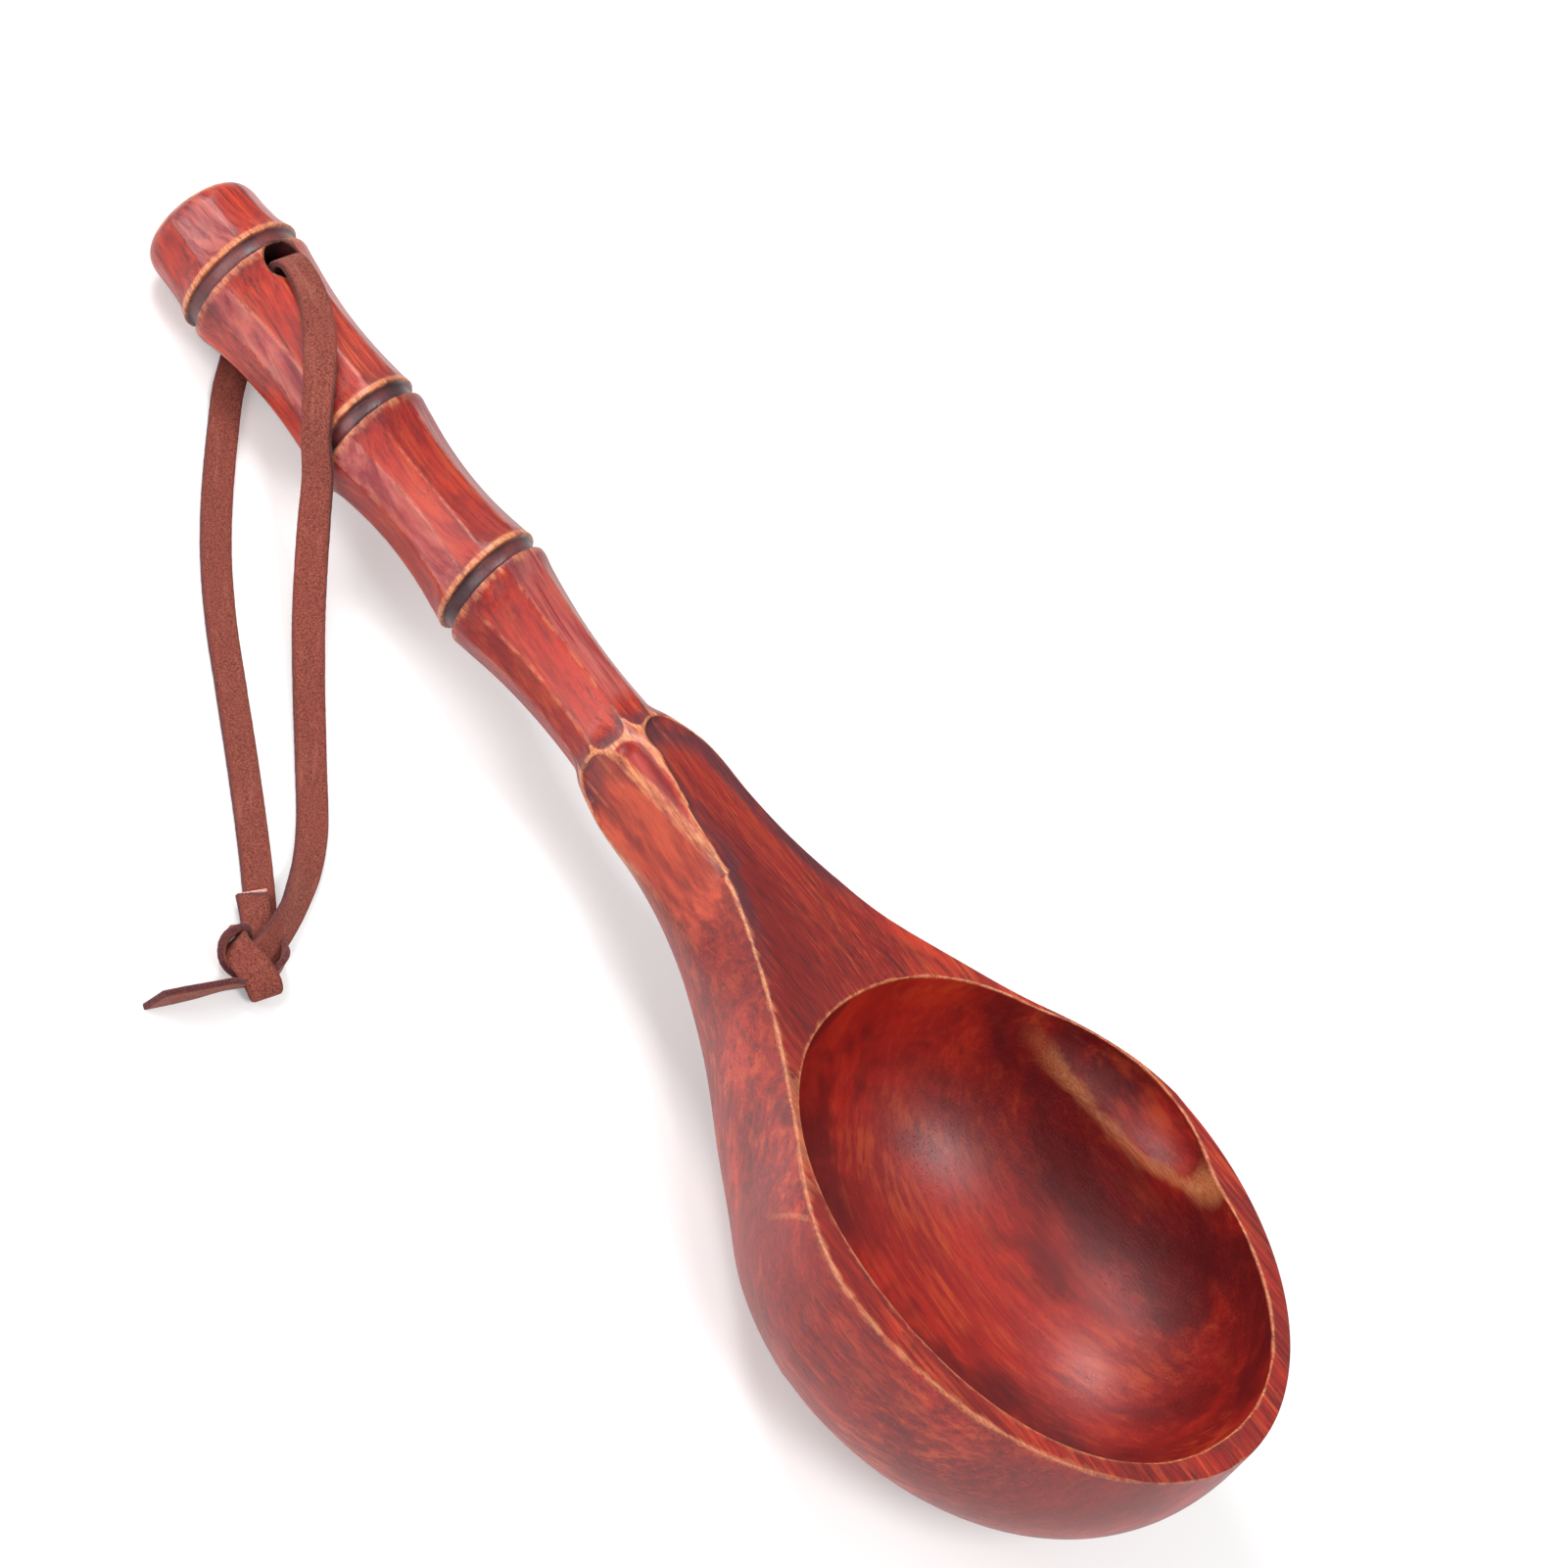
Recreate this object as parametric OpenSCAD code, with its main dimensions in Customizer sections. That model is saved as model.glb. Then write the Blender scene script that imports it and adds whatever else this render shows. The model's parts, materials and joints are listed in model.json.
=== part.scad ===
// A ladle carved from one block of hardwood, with a deep oval bowl, a pouring lip on its left
// side, a handle carved like a bamboo cane, and a flat leather thong tied through the handle.
// The ladle lies on a table: the flat under its bowl and the end of its handle touch it.

/* [Bowl] */
// Rim centre to the tip of the bowl
bowl_reach = 69; // [60:1:80]
// Half the width of the rim
bowl_half_width = 57; // [50:1:66]
// Rim to the lowest point of the bowl
bowl_depth = 60; // [54:1:70]
// How far the wall swells out below the rim
belly_swell = 1.5; // [0.5:0.5:4]
// How far the wall swells out below the rim at the tip
tip_swell = 0.3; // [0.3:0.1:3]
// Depth below the rim at which the tip reaches furthest
tip_drop = 4; // [1:0.5:8]
// Depth below the rim at which the wall is widest
belly_drop = 13; // [8:1:18]
// Wood taken off under the bowl, so that it stands flat
foot_cut = 0.8; // [0.4:0.1:1.5]
// Centre of the foot, behind the rim centre
foot_back = 11; // [6:1:16]

/* [Hollow] */
// Half the length of the hollow at the rim
hollow_half_length = 63; // [54:1:64]
// Half the width of the hollow at the rim
hollow_half_width = 49.5; // [42:0.5:52]
// Depth of the hollow
hollow_depth = 51; // [42:1:53]

/* [Pouring lip] */
// Half the length of the scoop in the rim
lip_half_length = 42; // [36:1:46]
// Half the width of the scoop
lip_half_width = 45.5; // [42:0.5:47]
// Depth of the scoop
lip_depth = 26; // [18:1:32]
// Scoop's centre, left of the ladle's middle line
lip_side = 10; // [6:0.5:10]
// Scoop's centre, behind the rim centre
lip_back = 8; // [4:1:14]

/* [Handle] */
// Rim centre to the node nearest the bowl
node_reach = 192; // [180:1:210]
// Distance between two nodes
node_pitch = 48; // [40:1:56]
// Last node to the end of the handle
end_length = 21; // [18:1:30]
// Handle's middle line below the rim
handle_drop = 10; // [9:0.5:12]
// Radius at the end of the handle
end_radius = 14.8; // [14.4:0.1:15.6]
// Radius of the lips of the last node
lip_1_radius = 16.7; // [15.8:0.1:17.2]
// Radius of the lips of the middle node
lip_2_radius = 15.2; // [14.4:0.1:16]
// Radius of the lips of the node nearest the bowl
lip_3_radius = 14.6; // [13.8:0.1:15.4]
// Waist between the last two nodes
waist_2_radius = 13.3; // [12.6:0.1:14]
// Waist between the middle node and the one nearest the bowl
waist_3_radius = 11.5; // [11.2:0.1:13]
// Waist between the bowl and its nearest node
waist_4_radius = 10; // [9.6:0.1:11.6]
// Radius where the handle meets the neck
neck_radius = 12.8; // [12:0.1:13.4]
// Width of a node's groove
groove_width = 3.6; // [2:0.2:5]
// Depth of a node's groove
groove_depth = 1.3; // [0.6:0.1:2]
// Rounding of the handle's end
end_rounding = 3; // [1.5:0.5:5]

/* [Neck] */
// Rim centre to the scalloped end of the flat top
top_scallop_reach = 142.5; // [136:0.5:150]
// Rim centre to the scalloped ends of the side facets
side_scallop_reach = 142; // [136:0.5:150]
// Rim centre to the scalloped end of the facet below
under_scallop_reach = 146; // [138:0.5:152]
// Handle's middle line to the side facets
side_facet_out = 10.6; // [10.2:0.1:11.4]
// Handle's middle line to the facet below
under_facet_out = 10.8; // [10.2:0.1:11.4]
// Radius of a scallop's round end
scallop_radius = 7; // [5:0.5:8]
// Half the width of the neck where the loft begins
neck_half_width = 10.4; // [9:0.1:11]
// Half the height of the neck where the loft begins
neck_half_height = 10.6; // [9:0.1:11]
// Rim centre to the start of the loft, hidden in the handle
loft_reach = 150; // [147:1:156]
// How far the handle's cane runs on inside the neck
neck_overlap = 22; // [16:1:26]

/* [Thong hole] */
// Diameter of the hole through the handle
hole_d = 10; // [9.5:0.1:11]
// Hole's middle line, towards the bowl from the last node
hole_ahead = 6; // [4:0.5:12]

/* [Thong] */
// Width of the leather strap
strap_width = 7.6; // [6:0.1:7.8]
// Thickness of the leather strap
strap_thickness = 1.5; // [1.2:0.1:1.6]
// Bevel along the strap's edges
strap_bevel = 0.4; // [0.2:0.1:0.5]
// Half the width of the knot
knot_half_width = 6.4; // [5:0.2:8]
// Half the height of the knot
knot_half_height = 3.6; // [3:0.1:4]

/* [Hidden] */

wood_colour = [0.52, 0.15, 0.09];
leather_colour = [0.55, 0.28, 0.22];
overrun = 20;
round_steps = 48;
cove_steps = 9;
cap_steps = 5;
scoop_levels = 14;
knot_sides = 8;

// Ladle's own frame: X towards the tip, Y to the left, Z up, zero at the rim's centre
end_x = -(node_reach + 2 * node_pitch + end_length);
node_1_x = -(node_reach + 2 * node_pitch);
node_2_x = -(node_reach + node_pitch);
node_3_x = -node_reach;
hole_x = node_1_x + hole_ahead;

// The table touches the foot and the rounded end of the handle
foot_z = -bowl_depth + foot_cut;
end_round_x = end_x + end_rounding;
end_round_z = -handle_drop - end_radius + end_rounding;
rest_span = sqrt(pow(-foot_back - end_round_x, 2) + pow(end_round_z - foot_z, 2));
rest_tilt = atan2(end_round_z - foot_z, -foot_back - end_round_x) - asin(end_rounding / rest_span);

// Smooth curve through values at stations, with even slopes
function slope(xs, ys, i) =
    i == 0 ? (ys[1] - ys[0]) / (xs[1] - xs[0]) :
    i == len(xs) - 1 ? (ys[i] - ys[i - 1]) / (xs[i] - xs[i - 1]) :
    (ys[i + 1] - ys[i - 1]) / (xs[i + 1] - xs[i - 1]);
function hermite(a, b, ma, mb, gap, t) =
    (2 * t * t * t - 3 * t * t + 1) * a + (t * t * t - 2 * t * t + t) * gap * ma
    + (3 * t * t - 2 * t * t * t) * b + (t * t * t - t * t) * gap * mb;
function span_of(xs, x, i = 0) = i >= len(xs) - 2 || x < xs[i + 1] ? i : span_of(xs, x, i + 1);
function along(xs, ys, x) =
    let (i = span_of(xs, x), gap = xs[i + 1] - xs[i])
    hermite(ys[i], ys[i + 1], slope(xs, ys, i), slope(xs, ys, i + 1), gap, (x - xs[i]) / gap);
function arch(share, exponent) =
    share >= 1 ? 0 : pow(1 - pow(max(share, 0), exponent), 1 / exponent);
function mix(a, b, t) = a + (b - a) * t;

// Shape of the neck, from the loft's start to the rim's centre: places, then how far each size
// has grown from the neck's to the bowl's
neck_place_shares = [-1, -0.945, -0.89, -0.853, -0.78, -0.7, -0.62, -0.513, -0.387, -0.3, -0.213,
                     -0.133, -0.053, 0];
neck_width_shares = [0, 0.055, 0.1, 0.105, 0.09, 0.105, 0.15, 0.245, 0.445, 0.6, 0.79, 0.925, 0.998,
                     1];
neck_depth_shares = [-0.03, 0.02, 0.055, 0.09, 0.16, 0.26, 0.39, 0.615, 0.82, 0.905, 0.955, 0.98,
                     0.995, 1];
neck_crown_shares = [-0.02, 0.02, 0.1, 0.15, 0.25, 0.35, 0.46, 0.6, 0.8, 0.9, 0.96, 0.99, 1, 1];
neck_square_shares = [0, 0, 0, 0.2, 0.7, 1, 1, 0.7, -0.4, -1, -1, -0.4, 0, 0];
tip_place_shares = [0.1, 0.22, 0.34, 0.46, 0.57, 0.67, 0.76, 0.84, 0.9, 0.945, 0.975, 0.993];
plan_exponent = 1.9;
side_exponent = 2.6;
crown_exponent = 3.5;
wall_exponent = 2.4;
square_exponent = 2.15;
tip_wall_exponent = 2.2;
tip_drop_exponent = 2;
crown_height = 42;
neck_crown = 11;

loft_tip = bowl_reach + tip_swell;
belly_width = bowl_half_width + belly_swell;
belly_height = bowl_depth - belly_drop;

// Half width, half height below and above, height of the middle and squareness, at x
function neck_value(from, to, shares, x) =
    mix(from, to, along(neck_place_shares, shares, x / loft_reach));
function half_width(x) = x <= 0
    ? neck_value(neck_half_width, belly_width, neck_width_shares, x)
    : belly_width * arch(x / loft_tip, plan_exponent);
function half_below(x) = x <= 0
    ? neck_value(neck_half_height, belly_height, neck_depth_shares, x)
    : (bowl_depth - middle_drop(x)) * arch(x / loft_tip, side_exponent);
function half_above(x) = x <= 0
    ? neck_value(neck_crown, crown_height, neck_crown_shares, x)
    : crown_height * arch(x / loft_tip, crown_exponent);
function middle_drop(x) = x <= 0
    ? neck_value(handle_drop, belly_drop, neck_depth_shares, x)
    : mix(belly_drop, tip_drop, pow(x / loft_tip, tip_drop_exponent));
function wall_at(x) = x <= 0
    ? neck_value(wall_exponent, square_exponent, neck_square_shares, x)
    : mix(wall_exponent, tip_wall_exponent, x / loft_tip);
function power(v, e) = sign(v) * pow(abs(v), e);
function loft_ring(x) = [for (i = [0:round_steps - 1])
    let (a = 360 * i / round_steps, e = 2 / wall_at(x), s = sin(a))
    [x, half_width(x) * power(cos(a), e),
     (s < 0 ? half_below(x) : half_above(x)) * power(s, e) - middle_drop(x)]];

// Closed skin over rings of equal length, with a flat at each end
module skin(rings) {
    n = len(rings[0]);
    last = len(rings) - 1;
    points = [for (ring = rings) each ring];
    sides = [for (j = [0:last - 1], i = [0:n - 1], k = [0:1])
        let (a = j * n + i, b = j * n + (i + 1) % n, c = a + n, d = b + n)
        k == 0 ? [a, d, b] : [a, c, d]];
    ends = [for (i = [1:n - 2]) each [[0, i, i + 1], [last * n, last * n + i + 1, last * n + i]]];
    polyhedron(points, concat(sides, ends), convexity = 6);
}

module bowl_body() {
    skin([for (x = concat(neck_place_shares * loft_reach, tip_place_shares * loft_tip)) loft_ring(x)]);
}

// Round hollow, deepest at its centre, that runs straight up past the rim
hollow_plan_exponent = 2.15;
hollow_wall_exponent = 2.3;
lip_exponent = 2;
floor_share = 0.05;
module scoop(half_length, half_wide, depth, plan, wall) {
    function ring(grown, z) = [for (i = [0:round_steps - 1])
        let (a = 360 * i / round_steps, e = 2 / plan)
        [half_length * grown * power(cos(a), e), half_wide * grown * power(sin(a), e), z]];
    skin(concat([for (i = [scoop_levels:-1:0])
        let (level = sin(90 * i / scoop_levels))
        ring(max(arch(level, wall), floor_share), -depth * level)], [ring(1, overrun)]));
}

module hollow() {
    scoop(hollow_half_length, hollow_half_width, hollow_depth, hollow_plan_exponent,
          hollow_wall_exponent);
}

module pouring_lip() {
    translate([-lip_back, lip_side, 0])
        scoop(lip_half_length, lip_half_width, lip_depth, lip_exponent, lip_exponent);
}

// Outline of a cane segment from radius a to radius b, drawn in to its waist
cove_exponent = 3;
function cove(x_from, x_to, a, b, waist) = [for (i = [0:cove_steps])
    let (t = i / cove_steps)
    [waist + (a - waist) * pow(1 - t, cove_exponent) + (b - waist) * pow(t, cove_exponent),
     mix(x_from, x_to, t)]];
half_groove = groove_width / 2;
cane_stop = neck_overlap - loft_reach;
function groove(x, radius) =
    [[radius - groove_depth, x - half_groove], [radius - groove_depth, x + half_groove]];

module cane() {
    end = [for (i = [0:cap_steps - 1]) let (a = 90 * i / cap_steps)
        [end_radius - end_rounding * (1 - sin(a)), end_x + end_rounding * (1 - cos(a))]];
    outline = concat(
        [[0, end_x]], end,
        cove(end_round_x, node_1_x - half_groove, end_radius, lip_1_radius, end_radius),
        groove(node_1_x, lip_1_radius),
        cove(node_1_x + half_groove, node_2_x - half_groove, lip_1_radius, lip_2_radius, waist_2_radius),
        groove(node_2_x, lip_2_radius),
        cove(node_2_x + half_groove, node_3_x - half_groove, lip_2_radius, lip_3_radius, waist_3_radius),
        groove(node_3_x, lip_3_radius),
        cove(node_3_x + half_groove, cane_stop, lip_3_radius, neck_radius, waist_4_radius),
        [[0, cane_stop]]);
    translate([0, 0, -handle_drop])
        rotate([0, 90, 0])
            rotate_extrude($fn = round_steps)
                polygon(outline);
}

// Flat cut along the top, a side or the underside, which ends in a round scallop
module facet_cut(turn, out, reach, half_wide) {
    translate([0, 0, -handle_drop])
        rotate([turn, 0, 0])
            translate([scallop_radius - reach, 0, out])
                linear_extrude(overrun + crown_height) {
                    circle(scallop_radius, $fn = round_steps);
                    translate([0, -half_wide])
                        square([reach + loft_tip, 2 * half_wide]);
                }
}

side_angle = 83;
module ladle_block() {
    difference() {
        cane();
        facet_cut(side_angle, side_facet_out, side_scallop_reach, belly_width);
        facet_cut(-side_angle, side_facet_out, side_scallop_reach, belly_width);
        facet_cut(180, under_facet_out, under_scallop_reach, belly_width);
    }
    bowl_body();
}

// From the ladle's own frame to the table's, with the foot's centre at zero
module lay_down() {
    rotate([0, -rest_tilt, 0])
        translate([foot_back, 0, -foot_z])
            children();
}

module ladle() {
    color(wood_colour)
        difference() {
            lay_down()
                difference() {
                    ladle_block();
                    facet_cut(0, handle_drop, top_scallop_reach, belly_width + overrun);
                    hollow();
                    pouring_lip();
                    translate([hole_x, 0, -handle_drop - lip_1_radius - overrun])
                        cylinder(h = 2 * (lip_1_radius + overrun), d = hole_d, $fn = round_steps);
                }
            translate([-belly_width, -belly_width, -overrun])
                cube([2 * belly_width, 2 * belly_width, overrun]);
        }
}

// Middle line of the strap on the table, and the way its width points, at each place. Both legs
// begin in the middle of the hole; one leaves it above the handle, the other below.
front_leg_route = [
    [-274.9, 0, 17.5], [-276.3, 0, 30.4], [-276.2, 0, 32.7], [-274.8, 0, 34.2], [-272.2, -0.1, 34.7],
    [-266, -0.9, 34.6], [-259, -3.8, 34.6], [-252.5, -7.6, 34], [-246, -11.6, 32.2], [-240.5, -14.6, 29.2],
    [-235, -16.6, 25], [-228.5, -18.2, 20.2], [-221, -21.8, 15], [-213, -26, 10.4], [-203, -31.8, 6.2],
    [-189, -40.5, 3.2], [-173, -50.8, 1.4], [-158, -61.4, 1], [-150, -69.6, 1.8], [-144.5, -77.5, 3.3],
    [-142, -81.5, 4.1], [-139.6, -86, 4.6], [-138, -89.4, 4.6]];
front_leg_width_ways = [
    [0.38, 0.92, 0], [0.1, 1, 0], [0, 1, 0], [0, 1, 0], [0.05, 1, 0],
    [0.2, 0.95, 0.08], [0.42, 0.87, 0.22], [0.52, 0.75, 0.38], [0.56, 0.58, 0.57], [0.6, 0.37, 0.7],
    [0.6, 0.26, 0.76], [0.63, 0.37, 0.69], [0.64, 0.5, 0.57], [0.6, 0.66, 0.43], [0.57, 0.79, 0.25],
    [0.5, 0.85, 0.1], [0.5, 0.86, 0], [0.6, 0.79, 0], [0.78, 0.63, 0], [0.84, 0.55, 0],
    [0.86, 0.5, 0], [0.87, 0.48, 0], [0.88, 0.46, 0]];
back_leg_route = [
    [-274.9, 0, 17.5], [-273.5, 0.1, 6], [-272.9, 0.2, 3.2], [-272.4, -0.1, 1.25], [-271.1, -0.9, 0.9],
    [-263, -9.8, 0.9], [-254, -18, 0.9], [-240, -30, 0.9], [-226, -40.6, 0.9], [-211, -50, 0.9],
    [-196, -58, 0.9], [-179, -67, 0.9], [-163, -75.8, 0.9], [-154, -81, 0.9], [-146, -86, 1.1],
    [-141.6, -89, 1.4]];
back_leg_width_ways = [
    [0.38, 0.92, 0], [0.53, 0.85, 0], [0.53, 0.85, 0], [0.53, 0.85, 0], [0.53, 0.85, 0],
    [0.68, 0.73, 0], [0.66, 0.75, 0], [0.63, 0.77, 0], [0.56, 0.83, 0], [0.5, 0.86, 0],
    [0.47, 0.88, 0], [0.48, 0.88, 0], [0.5, 0.86, 0], [0.52, 0.85, 0], [0.55, 0.83, 0],
    [0.55, 0.83, 0]];
long_tail_route = [
    [-133.2, -101, 4.2], [-133.8, -106.5, 4.2], [-135, -112.5, 4.2], [-136.6, -118.5, 4.2],
    [-138.6, -124.6, 4.2]];
short_tail_route = [[-144.3, -89.2, 2.8], [-148.3, -87.2, 2.75], [-152.4, -84.9, 2.75]];
knot_route = [
    [-143.6, -86.2, 3.9], [-141.6, -88.8, 3.9], [-138.6, -92.6, 3.9], [-135, -97.2, 3.9],
    [-132, -101.2, 3.9], [-130.4, -103.4, 3.9]];
knot_shares = [0.55, 0.9, 1, 1, 0.75, 0.4];
knot_width_way = [0.79, 0.61, 0];
short_tail_width_way = [0.49, 0.87, 0];
on_edge = [0, 0, 1];

half_strap = strap_width / 2;
half_sheet = strap_thickness / 2;
strap_corners = [
    [half_strap, strap_bevel - half_sheet], [half_strap, half_sheet - strap_bevel],
    [half_strap - strap_bevel, half_sheet], [strap_bevel - half_strap, half_sheet],
    [-half_strap, half_sheet - strap_bevel], [-half_strap, strap_bevel - half_sheet],
    [strap_bevel - half_strap, -half_sheet], [half_strap - strap_bevel, -half_sheet]];
knot_corners = [for (i = [0:knot_sides - 1]) let (a = 360 * (i + 0.5) / knot_sides)
    [knot_half_width * cos(a), knot_half_height * sin(a)]];

function unit(v) = v / norm(v);
function heading(route, i) = unit(route[min(i + 1, len(route) - 1)] - route[max(i - 1, 0)]);
function strap_ring(route, i, way, corners, grown) =
    let (ahead = heading(route, i), across = unit(way - (way * ahead) * ahead), up = cross(ahead, across))
    [for (c = corners) route[i] + grown * (c[0] * across + c[1] * up)];

module strap(route, ways) {
    color(leather_colour)
        skin([for (i = [0:len(route) - 1]) strap_ring(route, i, ways[i], strap_corners, 1)]);
}

module thong_front_leg() {
    strap(front_leg_route, front_leg_width_ways);
}

module thong_back_leg() {
    strap(back_leg_route, back_leg_width_ways);
}

// Stands on its edge
module thong_long_tail() {
    strap(long_tail_route, [for (p = long_tail_route) on_edge]);
}

// Lies on the back leg
module thong_short_tail() {
    strap(short_tail_route, [for (p = short_tail_route) short_tail_width_way]);
}

module thong_knot() {
    color(leather_colour)
        skin([for (i = [0:len(knot_route) - 1])
            strap_ring(knot_route, i, knot_width_way, knot_corners, knot_shares[i])]);
}

ladle();
thong_front_leg();
thong_back_leg();
thong_knot();
thong_long_tail();
thong_short_tail();
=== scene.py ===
import json
import math
import random

import bmesh
import bpy
import numpy as np
from mathutils import Matrix, Vector
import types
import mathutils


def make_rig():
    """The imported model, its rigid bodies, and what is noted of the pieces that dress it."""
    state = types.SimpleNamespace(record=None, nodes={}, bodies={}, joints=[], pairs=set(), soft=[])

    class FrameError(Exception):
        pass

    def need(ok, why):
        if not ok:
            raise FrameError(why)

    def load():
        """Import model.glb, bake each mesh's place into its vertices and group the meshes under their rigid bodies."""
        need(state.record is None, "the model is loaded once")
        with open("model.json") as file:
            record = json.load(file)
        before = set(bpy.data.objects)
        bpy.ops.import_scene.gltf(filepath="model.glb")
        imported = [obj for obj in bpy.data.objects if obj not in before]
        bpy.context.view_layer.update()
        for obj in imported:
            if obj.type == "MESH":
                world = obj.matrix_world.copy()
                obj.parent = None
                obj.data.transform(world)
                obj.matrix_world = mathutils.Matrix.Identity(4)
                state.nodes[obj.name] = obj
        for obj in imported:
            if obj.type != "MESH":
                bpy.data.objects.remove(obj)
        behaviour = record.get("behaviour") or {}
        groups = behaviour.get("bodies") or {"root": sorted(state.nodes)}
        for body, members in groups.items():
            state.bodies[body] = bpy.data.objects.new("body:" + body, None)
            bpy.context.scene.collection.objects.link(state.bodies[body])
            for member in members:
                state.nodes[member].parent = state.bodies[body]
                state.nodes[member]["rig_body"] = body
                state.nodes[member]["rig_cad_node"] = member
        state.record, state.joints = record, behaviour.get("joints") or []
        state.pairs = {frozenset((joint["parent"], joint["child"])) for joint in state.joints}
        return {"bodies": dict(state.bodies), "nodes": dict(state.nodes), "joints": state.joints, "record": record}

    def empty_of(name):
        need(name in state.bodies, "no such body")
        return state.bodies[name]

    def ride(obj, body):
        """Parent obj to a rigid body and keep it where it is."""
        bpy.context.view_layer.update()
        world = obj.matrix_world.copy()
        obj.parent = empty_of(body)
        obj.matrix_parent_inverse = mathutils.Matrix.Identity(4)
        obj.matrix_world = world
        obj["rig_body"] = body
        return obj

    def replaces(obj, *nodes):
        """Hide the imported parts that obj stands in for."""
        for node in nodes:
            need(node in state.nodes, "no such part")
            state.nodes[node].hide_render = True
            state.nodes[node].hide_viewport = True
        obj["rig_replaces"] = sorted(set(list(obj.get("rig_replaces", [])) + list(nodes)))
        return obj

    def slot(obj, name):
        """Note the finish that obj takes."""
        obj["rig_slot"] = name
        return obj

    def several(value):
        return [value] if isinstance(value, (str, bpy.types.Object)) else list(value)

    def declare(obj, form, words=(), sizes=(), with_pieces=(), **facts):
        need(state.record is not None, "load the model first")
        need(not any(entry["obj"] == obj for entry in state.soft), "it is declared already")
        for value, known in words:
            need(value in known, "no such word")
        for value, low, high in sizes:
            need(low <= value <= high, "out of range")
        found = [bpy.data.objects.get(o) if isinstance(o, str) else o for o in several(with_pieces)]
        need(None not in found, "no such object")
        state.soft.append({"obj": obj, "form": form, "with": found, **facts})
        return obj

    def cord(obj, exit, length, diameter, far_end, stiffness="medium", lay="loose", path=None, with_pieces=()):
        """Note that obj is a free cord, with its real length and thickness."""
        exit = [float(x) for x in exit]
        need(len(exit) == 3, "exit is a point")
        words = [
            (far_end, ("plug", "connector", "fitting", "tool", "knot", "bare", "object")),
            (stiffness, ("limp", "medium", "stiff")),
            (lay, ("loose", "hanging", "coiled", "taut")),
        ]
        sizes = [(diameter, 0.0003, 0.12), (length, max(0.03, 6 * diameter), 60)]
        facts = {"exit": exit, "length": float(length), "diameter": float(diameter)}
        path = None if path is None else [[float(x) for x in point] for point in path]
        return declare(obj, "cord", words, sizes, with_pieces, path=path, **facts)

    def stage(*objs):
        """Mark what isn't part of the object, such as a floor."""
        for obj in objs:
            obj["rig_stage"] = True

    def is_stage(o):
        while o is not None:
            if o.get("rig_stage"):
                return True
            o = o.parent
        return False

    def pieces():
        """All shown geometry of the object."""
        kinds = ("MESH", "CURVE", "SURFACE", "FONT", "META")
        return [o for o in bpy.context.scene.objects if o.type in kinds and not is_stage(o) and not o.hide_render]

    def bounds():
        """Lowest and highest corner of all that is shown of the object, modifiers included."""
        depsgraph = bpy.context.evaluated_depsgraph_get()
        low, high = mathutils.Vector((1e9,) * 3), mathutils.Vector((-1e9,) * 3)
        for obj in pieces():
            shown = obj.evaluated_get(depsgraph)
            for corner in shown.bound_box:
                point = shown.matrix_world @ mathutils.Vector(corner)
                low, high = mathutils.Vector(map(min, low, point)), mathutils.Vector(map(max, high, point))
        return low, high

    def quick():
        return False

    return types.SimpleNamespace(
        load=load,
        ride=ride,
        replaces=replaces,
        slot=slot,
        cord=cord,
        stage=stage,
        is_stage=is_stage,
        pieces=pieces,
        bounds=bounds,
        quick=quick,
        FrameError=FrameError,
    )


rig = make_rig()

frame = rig.load()
cad_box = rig.bounds()

MM = 0.001

# Sizes in millimetres, the same as the part's own
FOOT_BACK = 11.0
FOOT_Z = -59.2
HANDLE_DROP = 10.0
END_X = -309.0
END_RADIUS = 14.8
END_ROUNDING = 3.0
NODES_X = (-288.0, -240.0, -192.0)
HOLE_X = -282.0
HOLE_RADIUS = 5.0
STRAP_WIDTH = 7.6
STRAP_THICKNESS = 1.5


def rest_tilt():
    """Angle at which the ladle lies on its foot and the end of its handle."""
    round_x = END_X + END_ROUNDING
    round_z = -HANDLE_DROP - END_RADIUS + END_ROUNDING
    span = math.hypot(-FOOT_BACK - round_x, round_z - FOOT_Z)
    return math.atan2(round_z - FOOT_Z, -FOOT_BACK - round_x) - math.asin(END_ROUNDING / span)


TILT = rest_tilt()
LAY_DOWN = np.array([[math.cos(TILT), 0, -math.sin(TILT)], [0, 1, 0], [math.sin(TILT), 0, math.cos(TILT)]])


def to_table(points):
    """From the ladle's own frame, zero at the rim's centre, to the table's, in millimetres."""
    return (np.asarray(points, float) - (-FOOT_BACK, 0, FOOT_Z)) @ LAY_DOWN.T


def put_in_scene(name, data):
    obj = bpy.data.objects.new(name, data)
    bpy.context.scene.collection.objects.link(obj)
    return obj


def make_camera():
    back = Vector((0.1644, -0.6760, 0.7184))
    right = Vector((0.5593, 0.6638, 0.4966))
    up = Vector((-0.8125, 0.3201, 0.4872))
    data = bpy.data.cameras.new("camera")
    camera = put_in_scene("camera", data)
    turn = Matrix((right, up, back)).transposed().to_4x4()
    turn.translation = Vector((78.03, -750.42, 868.29)) * MM
    camera.matrix_world = turn
    data.sensor_width = 36.0
    data.lens = 116.0
    data.clip_start, data.clip_end = 0.05, 20.0
    bpy.context.scene.camera = camera


make_camera()


# Mesh helpers

def link_mesh(name, verts, faces, normals=None):
    mesh = bpy.data.meshes.new(name)
    mesh.from_pydata([tuple(v) for v in verts], [], [tuple(f) for f in faces])
    mesh.update()
    mesh.polygons.foreach_set("use_smooth", [True] * len(mesh.polygons))
    if normals is not None:
        mesh.normals_split_custom_set_from_vertices([tuple(n) for n in normals])
    return put_in_scene(name, mesh)


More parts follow.
